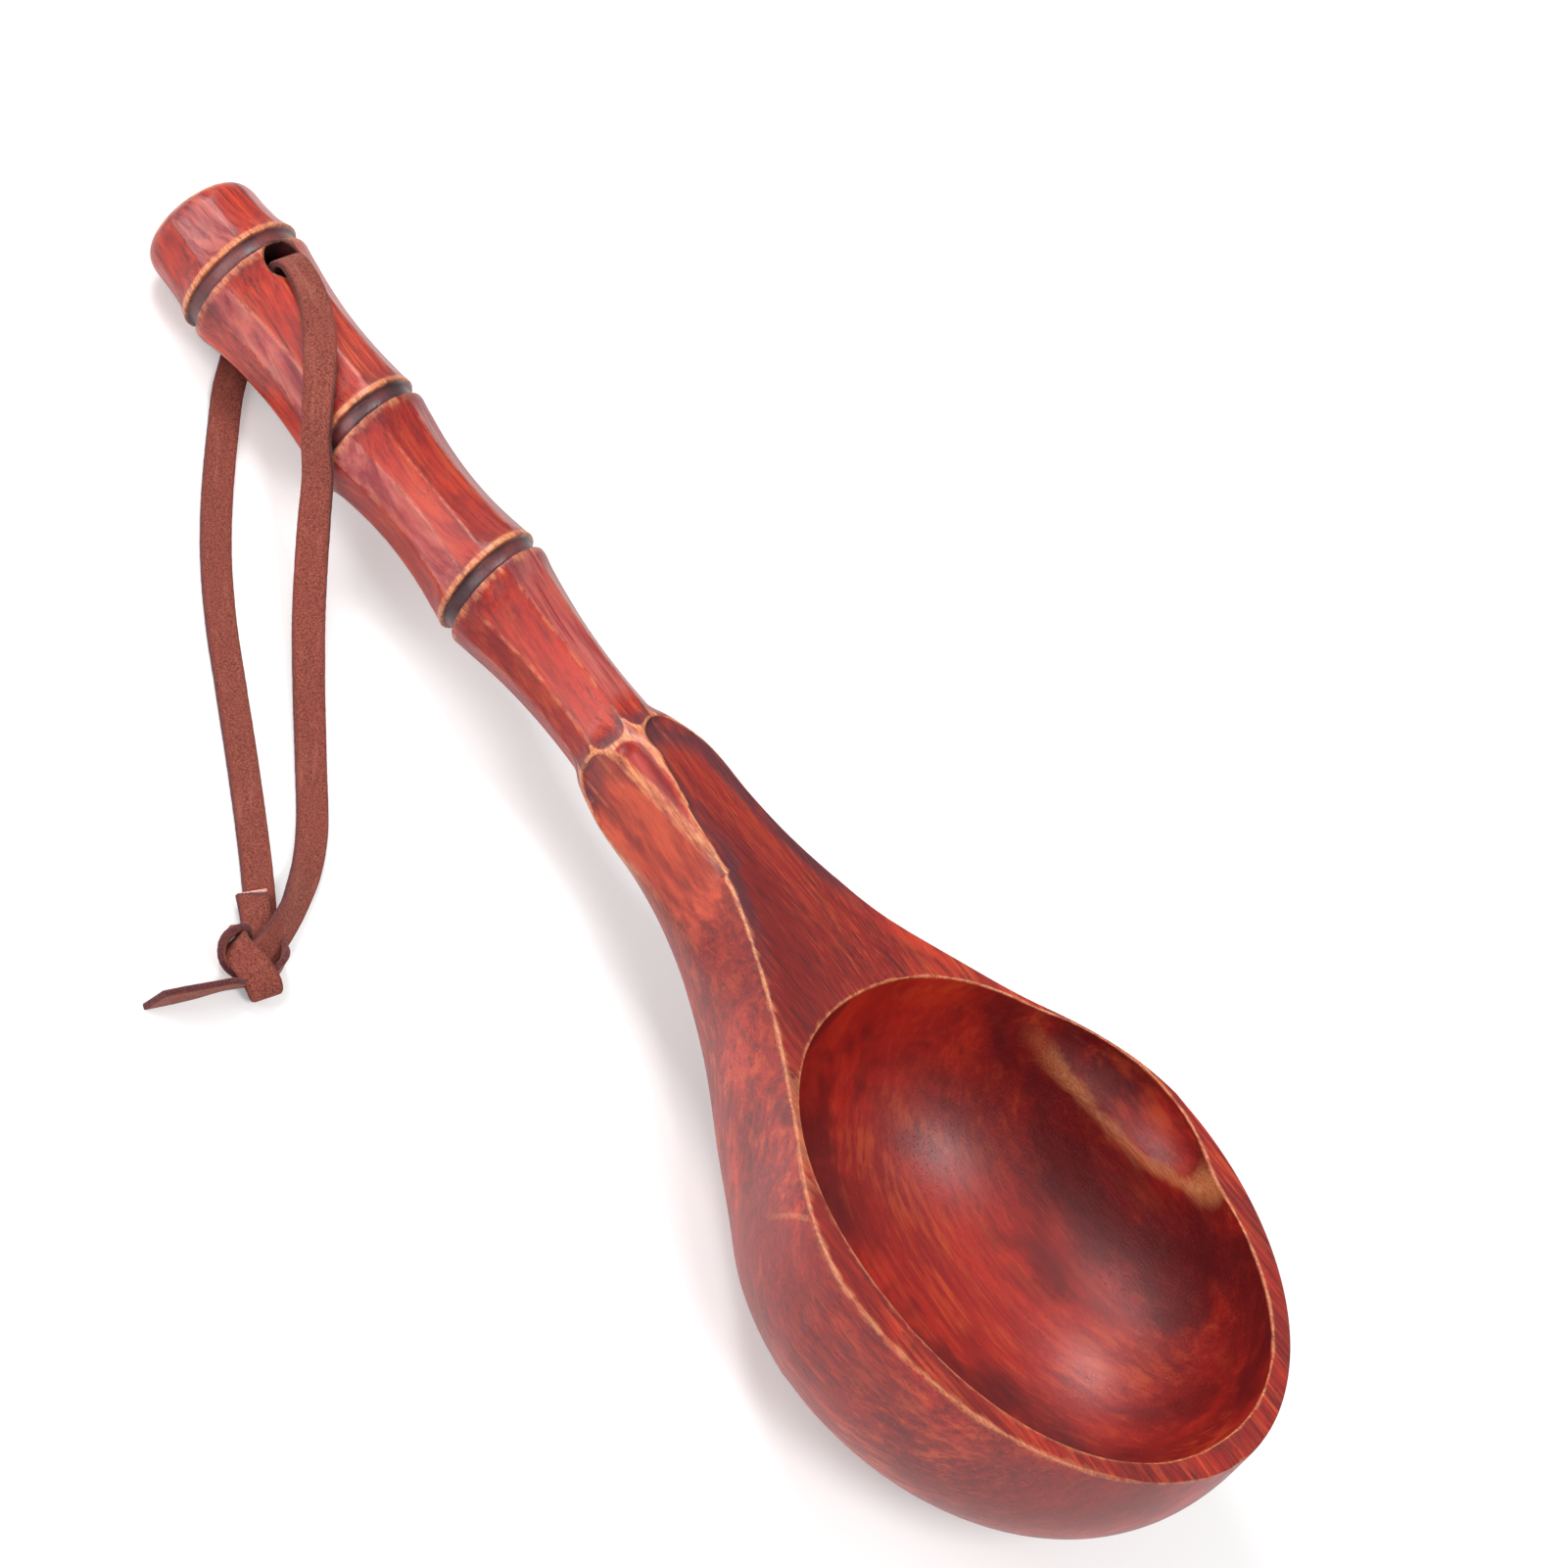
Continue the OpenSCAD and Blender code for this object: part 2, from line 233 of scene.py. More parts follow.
def keep(obj, name, values):
    """Keeps a number or a vector with each vertex, for the materials."""
    values = np.asarray(values, np.float32)
    kind, key = ("FLOAT", "value") if values.ndim == 1 else ("FLOAT_VECTOR", "vector")
    obj.data.attributes.new(name, kind, "POINT").data.foreach_set(key, values.ravel())


# The thong: flat strips of leather

FRONT_LEG = [
    (-274.9, 0, 17.5), (-276.3, 0, 30.4), (-276.2, 0, 32.7), (-274.8, 0, 34.2), (-272.2, -0.1, 34.7),
    (-266, -0.9, 34.6), (-259, -3.8, 34.6), (-252.5, -7.6, 34), (-246, -11.6, 32.2), (-240.5, -14.6, 29.2),
    (-235, -16.6, 25), (-228.5, -18.2, 20.2), (-221, -21.8, 15), (-213, -26, 10.4), (-203, -31.8, 6.2),
    (-189, -40.5, 3.2), (-173, -50.8, 1.4), (-158, -61.4, 1), (-150, -69.6, 1.8), (-144.5, -77.5, 3.3),
    (-142, -81.5, 4.1), (-139.6, -86, 4.6), (-138, -89.4, 4.6), (-136.6, -92.8, 4.6), (-135.6, -96.6, 4.4)]
FRONT_LEG_WAYS = [
    (0.38, 0.92, 0), (0.1, 1, 0), (0, 1, 0), (0, 1, 0), (0.05, 1, 0),
    (0.2, 0.95, 0.08), (0.42, 0.87, 0.22), (0.52, 0.75, 0.38), (0.56, 0.58, 0.57), (0.6, 0.37, 0.7),
    (0.6, 0.26, 0.76), (0.63, 0.37, 0.69), (0.64, 0.5, 0.57), (0.6, 0.66, 0.43), (0.57, 0.79, 0.25),
    (0.5, 0.85, 0.1), (0.5, 0.86, 0), (0.6, 0.79, 0), (0.78, 0.63, -0.25), (0.84, 0.55, -0.55),
    (0.84, 0.5, -0.68), (0.84, 0.48, -0.7), (0.84, 0.46, -0.68), (0.9, 0.38, -0.55), (0.95, 0.28, -0.4)]
BACK_LEG = [
    (-274.9, 0, 17.5), (-273.5, 0.1, 6), (-272.9, 0.2, 3.2), (-272.4, -0.1, 1.25), (-271.1, -0.9, 0.9),
    (-263, -9.8, 0.9), (-254, -18, 0.9), (-240, -30, 0.9), (-226, -40.6, 0.9), (-211, -50, 0.9),
    (-196, -58, 0.9), (-179, -67, 0.9), (-163, -75.8, 0.9), (-154, -81, 0.9), (-146, -86, 1.1),
    (-141.6, -89, 1.4), (-137.2, -92.4, 1.5), (-133.4, -96, 1.5)]
BACK_LEG_WAYS = [
    (0.38, 0.92, 0), (0.53, 0.85, 0), (0.53, 0.85, 0), (0.53, 0.85, 0), (0.53, 0.85, 0),
    (0.68, 0.73, 0), (0.66, 0.75, 0), (0.63, 0.77, 0), (0.56, 0.83, 0), (0.5, 0.86, 0),
    (0.47, 0.88, 0), (0.48, 0.88, 0), (0.5, 0.86, 0), (0.52, 0.85, 0), (0.55, 0.83, 0),
    (0.55, 0.83, 0), (0.6, 0.8, 0), (0.66, 0.75, 0)]
LONG_TAIL = [
    (-132.2, -101.4, 2.3), (-132.8, -103.8, 2.9), (-133.5, -107.2, 3.7), (-134.4, -112.8, 4.1),
    (-135.7, -119, 4.1), (-137, -125.2, 4.1)]
SHORT_TAIL = [(-136.5, -94.6, 3.3), (-140.6, -91.9, 3.2), (-144.3, -89.5, 2.9), (-147.4, -87.9, 2.75),
              (-150.2, -86.6, 2.75)]
SHORT_TAIL_WAYS = [(0.56, 0.83, 0), (0.52, 0.85, 0), (0.44, 0.9, 0), (0.3, 0.95, 0), (0.2, 0.98, 0)]
# The knot's turns: the one that shows on top, the loop to its left and the fold to its right
WRAP = [
    (-141.7, -97.6, 2.6), (-141, -99.2, 4.2), (-139.5, -100.7, 5.5), (-136, -100.3, 6.1), (-132.5, -99.9, 6),
    (-129.6, -99.5, 5.2), (-127.9, -99.2, 3.6), (-128, -98.4, 2.2), (-130, -97.4, 1.5)]
WRAP_WAYS = [(0.2, -0.75, -0.63)] * 3 + [(0.12, -0.77, -0.62), (0, -0.8, -0.58), (-0.15, -0.82, -0.54)]
WRAP_WAYS += [(-0.25, -0.82, -0.5)] * 3
WRAP_SHARES = [0.85, 0.95, 1, 1, 1.03, 1.05, 1, 0.7, 0.5]
LOOP = [
    (-142.7, -93.6, 2.4), (-143.3, -95.2, 3.3), (-143.3, -97.4, 3.85), (-142.6, -100.2, 3.85),
    (-141, -102.4, 3.7), (-139.2, -103.1, 3), (-137.4, -102.9, 2.3), (-135.4, -102, 1.9),
    (-133.4, -100.6, 1.8)]
LOOP_WAYS = [(0.16, -0.68, 0.72)] * 9
LOOP_SHARES = [0.45, 0.85, 1, 1, 1, 0.9, 0.55, 0.4, 0.4]
FOLD = [(-129.8, -99.6, 2.3), (-130.3, -97.4, 3.2), (-131.3, -94.6, 4.1), (-132.5, -91.2, 3.9),
        (-134.4, -88.8, 3.2), (-137, -87.6, 2.7)]
FOLD_WAYS = [(0, -0.3, 1)] * 6
FOLD_SHARES = [0.35, 0.65, 0.92, 0.9, 0.65, 0.5]
LONG_TAIL_WAYS = [(0.3, 0, 0.95), (0.28, 0, 0.96), (0.22, 0, 0.97), (0.15, 0, 0.98), (0.1, 0, 1), (0.1, 0, 1)]
LONG_TAIL_SHARES = [0.35, 0.7, 0.95, 1, 1, 1]
STRIP_STEP = 0.9
STRIP_SIDE_POINTS = 9
EDGE_ROUND = 0.35
EDGE_ROUGH = 0.07


def smooth_line(points, step):
    """Points at an even step on a smooth curve through the given ones, and each one's place in the list."""
    p = np.asarray(points, float)
    ends = np.vstack([2 * p[0] - p[1], p, 2 * p[-1] - p[-2]])
    line, places = [], []
    for i in range(len(p) - 1):
        a, b, c, d = ends[i:i + 4]
        knots = np.cumsum([0] + [math.sqrt(np.linalg.norm(v)) for v in (b - a, c - b, d - c)])
        count = max(int(np.linalg.norm(c - b) / step), 1) * 4
        for t in np.linspace(0, 1, count, endpoint=False):
            u = knots[1] + t * (knots[2] - knots[1])

            def between(p, q, low, high):
                return p + (q - p) * (u - knots[low]) / (knots[high] - knots[low])

            bc = between(b, c, 1, 2)
            abc = between(between(a, b, 0, 1), bc, 0, 2)
            bcd = between(bc, between(c, d, 2, 3), 1, 3)
            line.append(between(abc, bcd, 1, 2))
            places.append(i + t)
    line.append(p[-1])
    places.append(len(p) - 1)
    line, places = np.array(line), np.array(places)
    run = np.concatenate([[0], np.cumsum(np.linalg.norm(np.diff(line, axis=0), axis=1))])
    even = np.linspace(0, run[-1], max(int(round(run[-1] / step)), 2) + 1)
    return (np.stack([np.interp(even, run, line[:, k]) for k in range(3)], -1),
            np.interp(even, run, places), even)


def strip_outline():
    """Cross-section of the strip: its two faces and its cut edges, as (across, up, edge share)."""
    half, sheet, corner = STRAP_WIDTH / 2, STRAP_THICKNESS / 2, EDGE_ROUND * 0.3
    flat = np.linspace(-half + EDGE_ROUND, half - EDGE_ROUND, STRIP_SIDE_POINTS)
    top = [(x, sheet, 0.0) for x in flat]
    right = [(half - corner, sheet - corner, 0.5), (half, sheet - EDGE_ROUND, 1.0),
             (half, -sheet + EDGE_ROUND, 1.0), (half - corner, -sheet + corner, 0.5)]
    return top + right + [(-x, -y, e) for x, y, e in top + right]


def make_strip(name, route, ways, seed, cut_slant=0.0, shares=None):
    """A flat strip of leather swept along the route, with rough cut edges."""
    line, places, run = smooth_line(route, STRIP_STEP)
    ends = (0, len(line) - 1)
    ways = np.asarray(ways, float)
    wide = np.interp(places, range(len(ways)), shares or [1.0] * len(ways))
    across = np.stack([np.interp(places, range(len(ways)), ways[:, k]) for k in range(3)], -1)
    ahead = np.gradient(line, axis=0)
    ahead /= np.linalg.norm(ahead, axis=1)[:, None]
    across -= (across * ahead).sum(1)[:, None] * ahead
    across /= np.linalg.norm(across, axis=1)[:, None]
    up = np.cross(ahead, across)
    rnd = random.Random(seed)
    outline = strip_outline()
    sides = len(outline)
    verts, edge, marks = [], [], []
    rough = [[rnd.uniform(-1, 1) for _ in range(len(line))] for _ in range(2)]
    for j, centre in enumerate(line):
        for (x, y, e) in outline:
            wobble = EDGE_ROUGH * rough[0 if x > 0 else 1][j] * (abs(x) / (STRAP_WIDTH / 2)) ** 3
            slant = cut_slant * (x / STRAP_WIDTH) if j in ends else 0.0
            sway = x * wide[j] + math.copysign(wobble, x)
            verts.append(centre + across[j] * sway + up[j] * y + ahead[j] * slant)
            edge.append(1.0 if j in ends else e)
            marks.append((run[j], x, run[-1] - run[j]))
    faces = []
    for j in range(len(line) - 1):
        for i in range(sides):
            a, b = j * sides + i, j * sides + (i + 1) % sides
            faces.append((a, b, b + sides, a + sides))
    # Each cut end has its own copy of the outline, closed by quads from its upper side to its lower one
    for base, way in ((len(verts), -1), (len(verts) + sides, 1)):
        for j in range(-2, STRIP_SIDE_POINTS + 1):
            faces.append([base + k % sides for k in (j, j + 1, -6 - j, -5 - j)][::way])
    verts, marks = (np.vstack([v, v[:sides], v[-sides:]]) for v in (verts, marks))
    edge += [1.0] * (2 * sides)
    obj = link_mesh(name, verts * MM, faces)
    bm = bmesh.new()
    bm.from_mesh(obj.data)
    bmesh.ops.recalc_face_normals(bm, faces=bm.faces)
    bm.to_mesh(obj.data)
    bm.free()
    keep(obj, "edge", edge)
    keep(obj, "strip", marks * MM)
    return obj, [tuple(p * MM) for p in line]


def line_length(points):
    p = np.asarray(points)
    return float(np.linalg.norm(np.diff(p, axis=0), axis=1).sum())


front_leg, front_path = make_strip("thong_front", FRONT_LEG, FRONT_LEG_WAYS, 3)
back_leg, back_path = make_strip("thong_back", BACK_LEG, BACK_LEG_WAYS, 5)
long_tail, _ = make_strip("thong_tail_long", LONG_TAIL, LONG_TAIL_WAYS, 7, -1.6, LONG_TAIL_SHARES)
short_tail, _ = make_strip("thong_tail_short", SHORT_TAIL, SHORT_TAIL_WAYS, 9, 1.5)
keep(short_tail, "curled", [1.0] * len(short_tail.data.vertices))
wrap, _ = make_strip("thong_knot_wrap", WRAP, WRAP_WAYS, 11, shares=WRAP_SHARES)
loop, _ = make_strip("thong_knot_loop", LOOP, LOOP_WAYS, 13, shares=LOOP_SHARES)
fold, _ = make_strip("thong_knot_fold", FOLD, FOLD_WAYS, 15, shares=FOLD_SHARES)


# The ladle: a carved solid, as one implicit surface in the ladle's own frame, in millimetres

NECK_START = -150.0
NECK_PLACES = np.array([-1, -0.945, -0.89, -0.853, -0.78, -0.7, -0.62, -0.513, -0.387, -0.3, -0.213,
                        -0.133, -0.053, 0]) * -NECK_START
NECK_WIDTH = [0, 0.055, 0.1, 0.105, 0.09, 0.105, 0.15, 0.245, 0.445, 0.6, 0.79, 0.925, 0.998, 1]
NECK_DEPTH = [-0.03, 0.02, 0.055, 0.09, 0.16, 0.26, 0.39, 0.615, 0.82, 0.905, 0.955, 0.98, 0.995, 1]
NECK_CROWN = [-0.02, 0.02, 0.1, 0.15, 0.25, 0.35, 0.46, 0.6, 0.8, 0.9, 0.96, 0.99, 1, 1]
NECK_SQUARE = [0, 0, 0, 0.2, 0.7, 1, 1, 0.7, -0.4, -1, -1, -0.4, 0, 0]
LOFT_TIP = 69.3
BELLY_WIDTH = 58.5
BOWL_DEPTH = 60.0
BELLY_DROP = 13.0
START_WIDTH = 10.4
START_BELOW = 10.6
START_ABOVE = 11.0
CROWN = 42.0
TIP_DROP = 4.0


def smooth_through(x, xs, ys):
    """Smooth curve through values at stations, as in the part's own loft."""
    xs, ys = np.asarray(xs, float), np.asarray(ys, float)
    slopes = np.empty_like(ys)
    slopes[1:-1] = (ys[2:] - ys[:-2]) / (xs[2:] - xs[:-2])
    slopes[0] = (ys[1] - ys[0]) / (xs[1] - xs[0])
    slopes[-1] = (ys[-1] - ys[-2]) / (xs[-1] - xs[-2])
    i = np.clip(np.searchsorted(xs, x, side="right") - 1, 0, len(xs) - 2)
    gap = xs[i + 1] - xs[i]
    t = np.clip((x - xs[i]) / gap, 0, 1)
    t2, t3 = t * t, t * t * t
    return ((2 * t3 - 3 * t2 + 1) * ys[i] + (t3 - 2 * t2 + t) * gap * slopes[i]
            + (3 * t2 - 2 * t3) * ys[i + 1] + (t3 - t2) * gap * slopes[i + 1])


def arch(share, exponent):
    inside = np.clip(share, 0, 1)
    return np.maximum(1 - inside ** exponent, 0) ** (1 / exponent)


def smooth_max(a, b, k):
    h = np.maximum(k - np.abs(a - b), 0) / k
    return np.maximum(a, b) + h * h * k / 4


def smooth_min(a, b, k):
    return -smooth_max(-a, -b, k)


def soft_step(x, low, high):
    t = np.clip((x - low) / (high - low), 0, 1)
    return t * t * (3 - 2 * t)


def beyond(reach, share):
    """About how far a point lies outside a surface, from its reach and that as a share of the surface's."""
    return reach * (1 - 1 / np.maximum(share, 0.02))


def blurred(values, step, spread, reach, ends="edge"):
    """Values at an even step, smoothed over the spread."""
    kernel = np.exp(-0.5 * (np.arange(-reach, reach + 1) * step / spread) ** 2)
    return np.convolve(np.pad(values, reach, mode=ends), kernel / kernel.sum(), mode="valid")


def loft_sizes(x):
    back = np.clip(x, NECK_START, 0)
    share = np.clip(x / LOFT_TIP, 0, 1)

    def neck(start, end, shares):
        return start + (end - start) * np.minimum(smooth_through(back, NECK_PLACES, shares), 1)

    drop_back = neck(HANDLE_DROP, BELLY_DROP, NECK_DEPTH)
    drop_front = BELLY_DROP + (TIP_DROP - BELLY_DROP) * share ** 2
    behind = x <= 0
    drop = np.where(behind, drop_back, drop_front)
    half_width = np.where(behind, neck(START_WIDTH, BELLY_WIDTH, NECK_WIDTH), BELLY_WIDTH * arch(share, 1.9))
    below = np.where(behind, neck(START_BELOW, BOWL_DEPTH - BELLY_DROP, NECK_DEPTH),
                     (BOWL_DEPTH - drop_front) * arch(share, 2.6))
    above = np.where(behind, neck(START_ABOVE, CROWN, NECK_CROWN), CROWN * arch(share, 3.5))
    exponent = np.where(behind, neck(2.4, 2.15, NECK_SQUARE), 2.4 + (2.2 - 2.4) * share)
    return drop, half_width, below, above, exponent


def loft(x, y, z):
    """The bowl and the neck outside, before anything is cut."""
    drop, half_width, below, above, exponent = loft_sizes(x)
    up = z + drop
    half_width = np.maximum(half_width, 0.05)
    height = np.maximum(np.where(up < 0, below, above), 0.05)
    rho = ((np.abs(y) / half_width) ** exponent + (np.abs(up) / height) ** exponent) ** (1 / exponent)
    side = beyond(np.sqrt(y * y + up * up), rho)
    return np.maximum(side, np.maximum(x - LOFT_TIP, NECK_START - x))


COVE = 3.0
GROOVE_HALF = 1.8
GROOVE_DEPTH = 1.3
NODE_RADII = (16.7, 15.2, 14.6)
WAISTS = (13.3, 11.5, 10.0)
CANE_STOP = -128.0
CANE_END = -104.0
NECK_RADIUS = 12.8

# Angles of the ridges between the flats of each cane segment, from the top towards the left side
RIDGES = (
    (17, 57, 97, 137, 177, 217, 257, 297, 337),
    (20, 56, 92, 130, 172, 210, 242, 277, 304, 345),
    (15, 53, 92, 130, 168, 205, 240, 276, 306, 332),
    (20, 64, 108, 150, 190, 225, 258, 291, 340))
# How much lilac, rather than orange, is painted on the flat that follows each ridge: partly the stain's own tone,
# partly a painted sheen
FLAT_TONES = (
    (0.9, 0.3, 0.7, 0.3, 0.6, 0.4, 0.1, 0.85, 0.1),
    (0.8, 0.3, 0.6, 0.3, 0.6, 0.4, 0.15, 0.95, 0.0, 0.6),
    (0.8, 0.3, 0.6, 0.3, 0.6, 0.3, 0.2, 0.9, 0.0, 0.3),
    (0.3, 0.7, 0.3, 0.6, 0.4, 0.3, 0.4, 0.1, 0.85))
RIDGE_STAND = 1.022
CAP_FLATS = 0.6
CANE_STEP = 0.05
TURN_STEP = 0.5
TURN_STEPS = np.arange(0, 360 + TURN_STEP, TURN_STEP)


def cane_tables():
    """Radius along the cane, its slope, and how far the flats have faded out."""
    x = np.arange(-330.0, -90.0, CANE_STEP)
    radius = np.full_like(x, NECK_RADIUS)
    flats = np.zeros_like(x)
    starts = [END_X + END_ROUNDING] + [n + GROOVE_HALF for n in NODES_X]
    ends = [n - GROOVE_HALF for n in NODES_X] + [CANE_STOP]
    first = (END_RADIUS,) + NODE_RADII
    last = NODE_RADII + (NECK_RADIUS,)
    waists = (END_RADIUS,) + WAISTS
    for k in range(4):
        t = np.clip((x - starts[k]) / (ends[k] - starts[k]), 0, 1)
        cove = waists[k] + (first[k] - waists[k]) * (1 - t) ** COVE + (last[k] - waists[k]) * t ** COVE
        here = (x >= starts[k]) & (x <= ends[k]) if k else x <= ends[k]
        # The wood swells into a soft shoulder just beyond each groove
        shoulder = 0.35 * np.clip(1 - (x - starts[k]) / 1.6, 0, 1) ** 2 if k else 0
        radius = np.where(here, cove - shoulder, radius)
        rise = soft_step(x, starts[k] + 1.5, starts[k] + 7) if k else CAP_FLATS * soft_step(x, -307, -299)
        fall = 1 - soft_step(x, ends[k] - 5, ends[k] - 1)
        flats = np.where(here, rise * fall, flats)
    for node, lip in zip(NODES_X, NODE_RADII):
        across = (x - node) / GROOVE_HALF
        floor = lip - GROOVE_DEPTH - 0.25 + 0.2 * across ** 2
        radius = np.where(np.abs(across) < 1, floor, radius)
    radius = blurred(radius, CANE_STEP, 0.14, 12)
    return x, radius, np.gradient(radius, x), flats


def flat_table(ridges):
    """Radius of the many-sided section as a share of the round one's, and how near a ridge is, 0 to 1."""
    turn = TURN_STEPS[:-1]
    share = np.ones_like(turn)
    across = np.zeros_like(turn)
    for k, start in enumerate(ridges):
        span = (ridges[(k + 1) % len(ridges)] - start) % 360
        off = (turn - start) % 360
        here = off < span
        share = np.where(here, RIDGE_STAND * math.cos(math.radians(span / 2))
                         / np.cos(np.radians(off - span / 2)), share)
        across = np.where(here, off / span * 2 - 1, across)
    share = blurred(share, TURN_STEP, 2.6, 12, "wrap")
    return np.append(share, share[0]), np.abs(np.append(across, across[0]))


CANE_X, CANE_RADIUS, CANE_SLOPE, CANE_FLATS = cane_tables()
FLAT_TABLES, ACROSS_TABLES = zip(*map(flat_table, RIDGES))
SLANT_X = [-288, -240, -192, -150]
SLANTS = np.radians([3.0, 4.5, 7.0, 0.0])
SLANT_WAY = (0.695, 0.676)
RIDGE_SWAY = 1.6
FLATS_STOP = -141.8
FLATS_ROUND = 5.0


def straightened(x, y, z):
    """Place along the cane, with the slant of the node planes taken out."""
    return x + np.interp(x, SLANT_X, SLANTS) * (SLANT_WAY[0] * y + SLANT_WAY[1] * (z + HANDLE_DROP))


def turn_about(y, z, place):
    """Angle about the handle's middle line, from the top, with the slow sway of the ridges."""
    return (np.degrees(np.arctan2(y, z + HANDLE_DROP)) + RIDGE_SWAY * np.sin(place * 0.13 + 1.0)) % 360


def by_segment(tables, place, turn):
    """Values from each cane segment's own table of angles."""
    values = np.empty_like(place)
    segment = np.searchsorted(NODES_X, place)
    for k, table in enumerate(tables):
        here = segment == k
        values[here] = np.interp(turn[here], TURN_STEPS, table)
    return values


def past_last_flats(x, turn):
    """How far a point is past the round ends of the last segment's flats."""
    return x - (FLATS_STOP - FLATS_ROUND * np.interp(turn, TURN_STEPS, ACROSS_TABLES[-1]) ** 4)


def cane(x, y, z):
    """The handle's round section, its grooves, and the flats that run out before the neck."""
    place = straightened(x, y, z)
    up = z + HANDLE_DROP
    radius = np.interp(place, CANE_X, CANE_RADIUS)
    slope = np.interp(place, CANE_X, CANE_SLOPE)
    flats = np.interp(place, CANE_X, CANE_FLATS)
    turn = turn_about(y, z, place)
    share = by_segment(FLAT_TABLES, place, turn)
    flats = flats * np.where(place > -175, 1 - soft_step(past_last_flats(x, turn), -1.0, 0.8), 1)
    out = np.sqrt(y * y + up * up)
    return (out - radius * (1 + flats * (share - 1))) / np.sqrt(1 + np.minimum(slope * slope, 9))


# Cuts that end in a round scallop: angle from the top, out from the handle's middle line, reach
SIDE_CUTS = ((83.0, 10.6, 142.0), (180.0, 10.8, 146.0))
SCALLOP = 7.0


def scallop_cut(x, y, z, turn, out, reach):
    """Less than zero in the wood that the cut takes off the cane."""
    a = math.radians(turn)
    up = z + HANDLE_DROP
    height = y * math.sin(a) + up * math.cos(a) - out
    side = y * math.cos(a) - up * math.sin(a)
    back = np.minimum(x + reach - SCALLOP, 0)
    end = np.where(back < 0, np.sqrt(back * back + side * side) - SCALLOP, -SCALLOP)
    return np.maximum(-height, end)


TOP_SCALLOP = (-135.5, 3.5)
TONGUE_X = [-138, -135.5, -125, -114, -106, -100, -94, -88]
TONGUE_EDGE = [3.5, 3.5, 4.9, 6.2, 7.9, 10.2, 15.0, 30.0]
TABLE_STEP = 0.25
TABLE_X = np.arange(-160.0, -30.0, TABLE_STEP)


def eased(stations, values, spread):
    """Values at TABLE_X, with the corners at the stations rounded over the spread."""
    return blurred(np.interp(TABLE_X, stations, values), TABLE_STEP, spread, 60)


TONGUE_LINE = eased(TONGUE_X, TONGUE_EDGE, 1.6)
TONGUE_LINE = TONGUE_EDGE[0] + (TONGUE_LINE - TONGUE_EDGE[0]) * soft_step(TABLE_X, TOP_SCALLOP[0], -130)


def top_cut(x, y, z):
    """Less than zero in the wood above the flat top."""
    back = np.minimum(x - TOP_SCALLOP[0], 0)
    round_end = np.sqrt(back * back + (y - TOP_SCALLOP[1]) ** 2) - SCALLOP
    edge = -y - np.interp(x, TABLE_X, TONGUE_LINE)
    return smooth_max(-z, np.where(back < 0, round_end, edge), 1.0)


TRIM_X = [-150, -140, -130, -120, -112, -104, -100, -92, -84, -76, -64, -58, -48, -36]
TRIM_TURN = np.radians([83, 83, 80, 77, 73, 69, 68, 68, 68, 68, 68, 68, 68, 68])
TRIM_OUT = [11.6, 11.6, 11.5, 11.3, 11.4, 11.6, 12.5, 15.1, 18.6, 22.3, 28.8, 32.7, 41.2, 64.0]
TRIM_START = -136.0
TRIM_WIDENING = 0.55
TRIM_TURNS = eased(TRIM_X, TRIM_TURN, 3.5)
TRIM_OUTS = eased(TRIM_X, TRIM_OUT, 3.5)
TONGUE_TURN = math.radians(40)
TONGUE_OUT = [12.7, 12.7, 13.3, 30.0]
TONGUE_STATIONS = [-150, -108, -102, -94]


def near_trim(x, y, z):
    """The long facet down the neck's right side, more than zero in the wood that it takes off."""
    turn = np.interp(x, TABLE_X, TRIM_TURNS)
    sine, cosine, up = np.sin(turn), np.cos(turn), z + HANDLE_DROP
    height = -y * sine + up * cosine - np.interp(x, TABLE_X, TRIM_OUTS)
    side = y * cosine + up * sine
    back = np.minimum(x - TRIM_START, 0)
    wider = TRIM_WIDENING * np.maximum(x - TRIM_START, 0)
    end = np.sqrt(back * back + side * side) - SCALLOP - wider
    return smooth_min(height, -end, 0.8)


def tongue_top(x, y, z):
    """Height over the tongue that the handle's round surface makes between the neck's facets."""
    height = -y * math.sin(TONGUE_TURN) + (z + HANDLE_DROP) * math.cos(TONGUE_TURN)
    return height - np.interp(x, TONGUE_STATIONS, TONGUE_OUT)


SCOOP_X = [-140, -130, -118, -110, -104, -98]
SCOOP_SIDE = [-0.4, -0.6, 0.1, -0.1, -1.2, -2.0]
SCOOP_DEPTH = [1.1, 1.1, 1.0, 0.75, 0.4, 0.0]
SCOOP_RADIUS = 5.0
SCOOP_START = -136.8


def tongue_scoop(x, y, z):
    """Less than zero in the shallow groove down the tongue."""
    height = tongue_top(x, y, z) - SCOOP_RADIUS + np.interp(x, SCOOP_X, SCOOP_DEPTH)
    side = y * math.cos(TONGUE_TURN) + (z + HANDLE_DROP) * math.sin(TONGUE_TURN)
    side = side - np.interp(x, SCOOP_X, SCOOP_SIDE)
    back = np.minimum(x - SCOOP_START, 0)
    return np.sqrt(height ** 2 + side ** 2 + back ** 2) - SCOOP_RADIUS


HOLLOW = (63.0, 49.5, 51.0)
LIP_PLACE = (-8.0, 10.0)
LIP = (42.0, 44.9, 26.0)
LIP_WALL = 0.9


def hollow(x, y, z):
    """Less than zero in the hollow of the bowl."""
    plan = ((np.abs(x) / HOLLOW[0]) ** 2.15 + (np.abs(y) / HOLLOW[1]) ** 2.15) ** (1 / 2.15)
    down = np.minimum(z, 0)
    share = (plan ** 2.3 + (np.abs(down) / HOLLOW[2]) ** 2.3) ** (1 / 2.3)
    return beyond(np.sqrt(x * x + y * y + down ** 2), share)


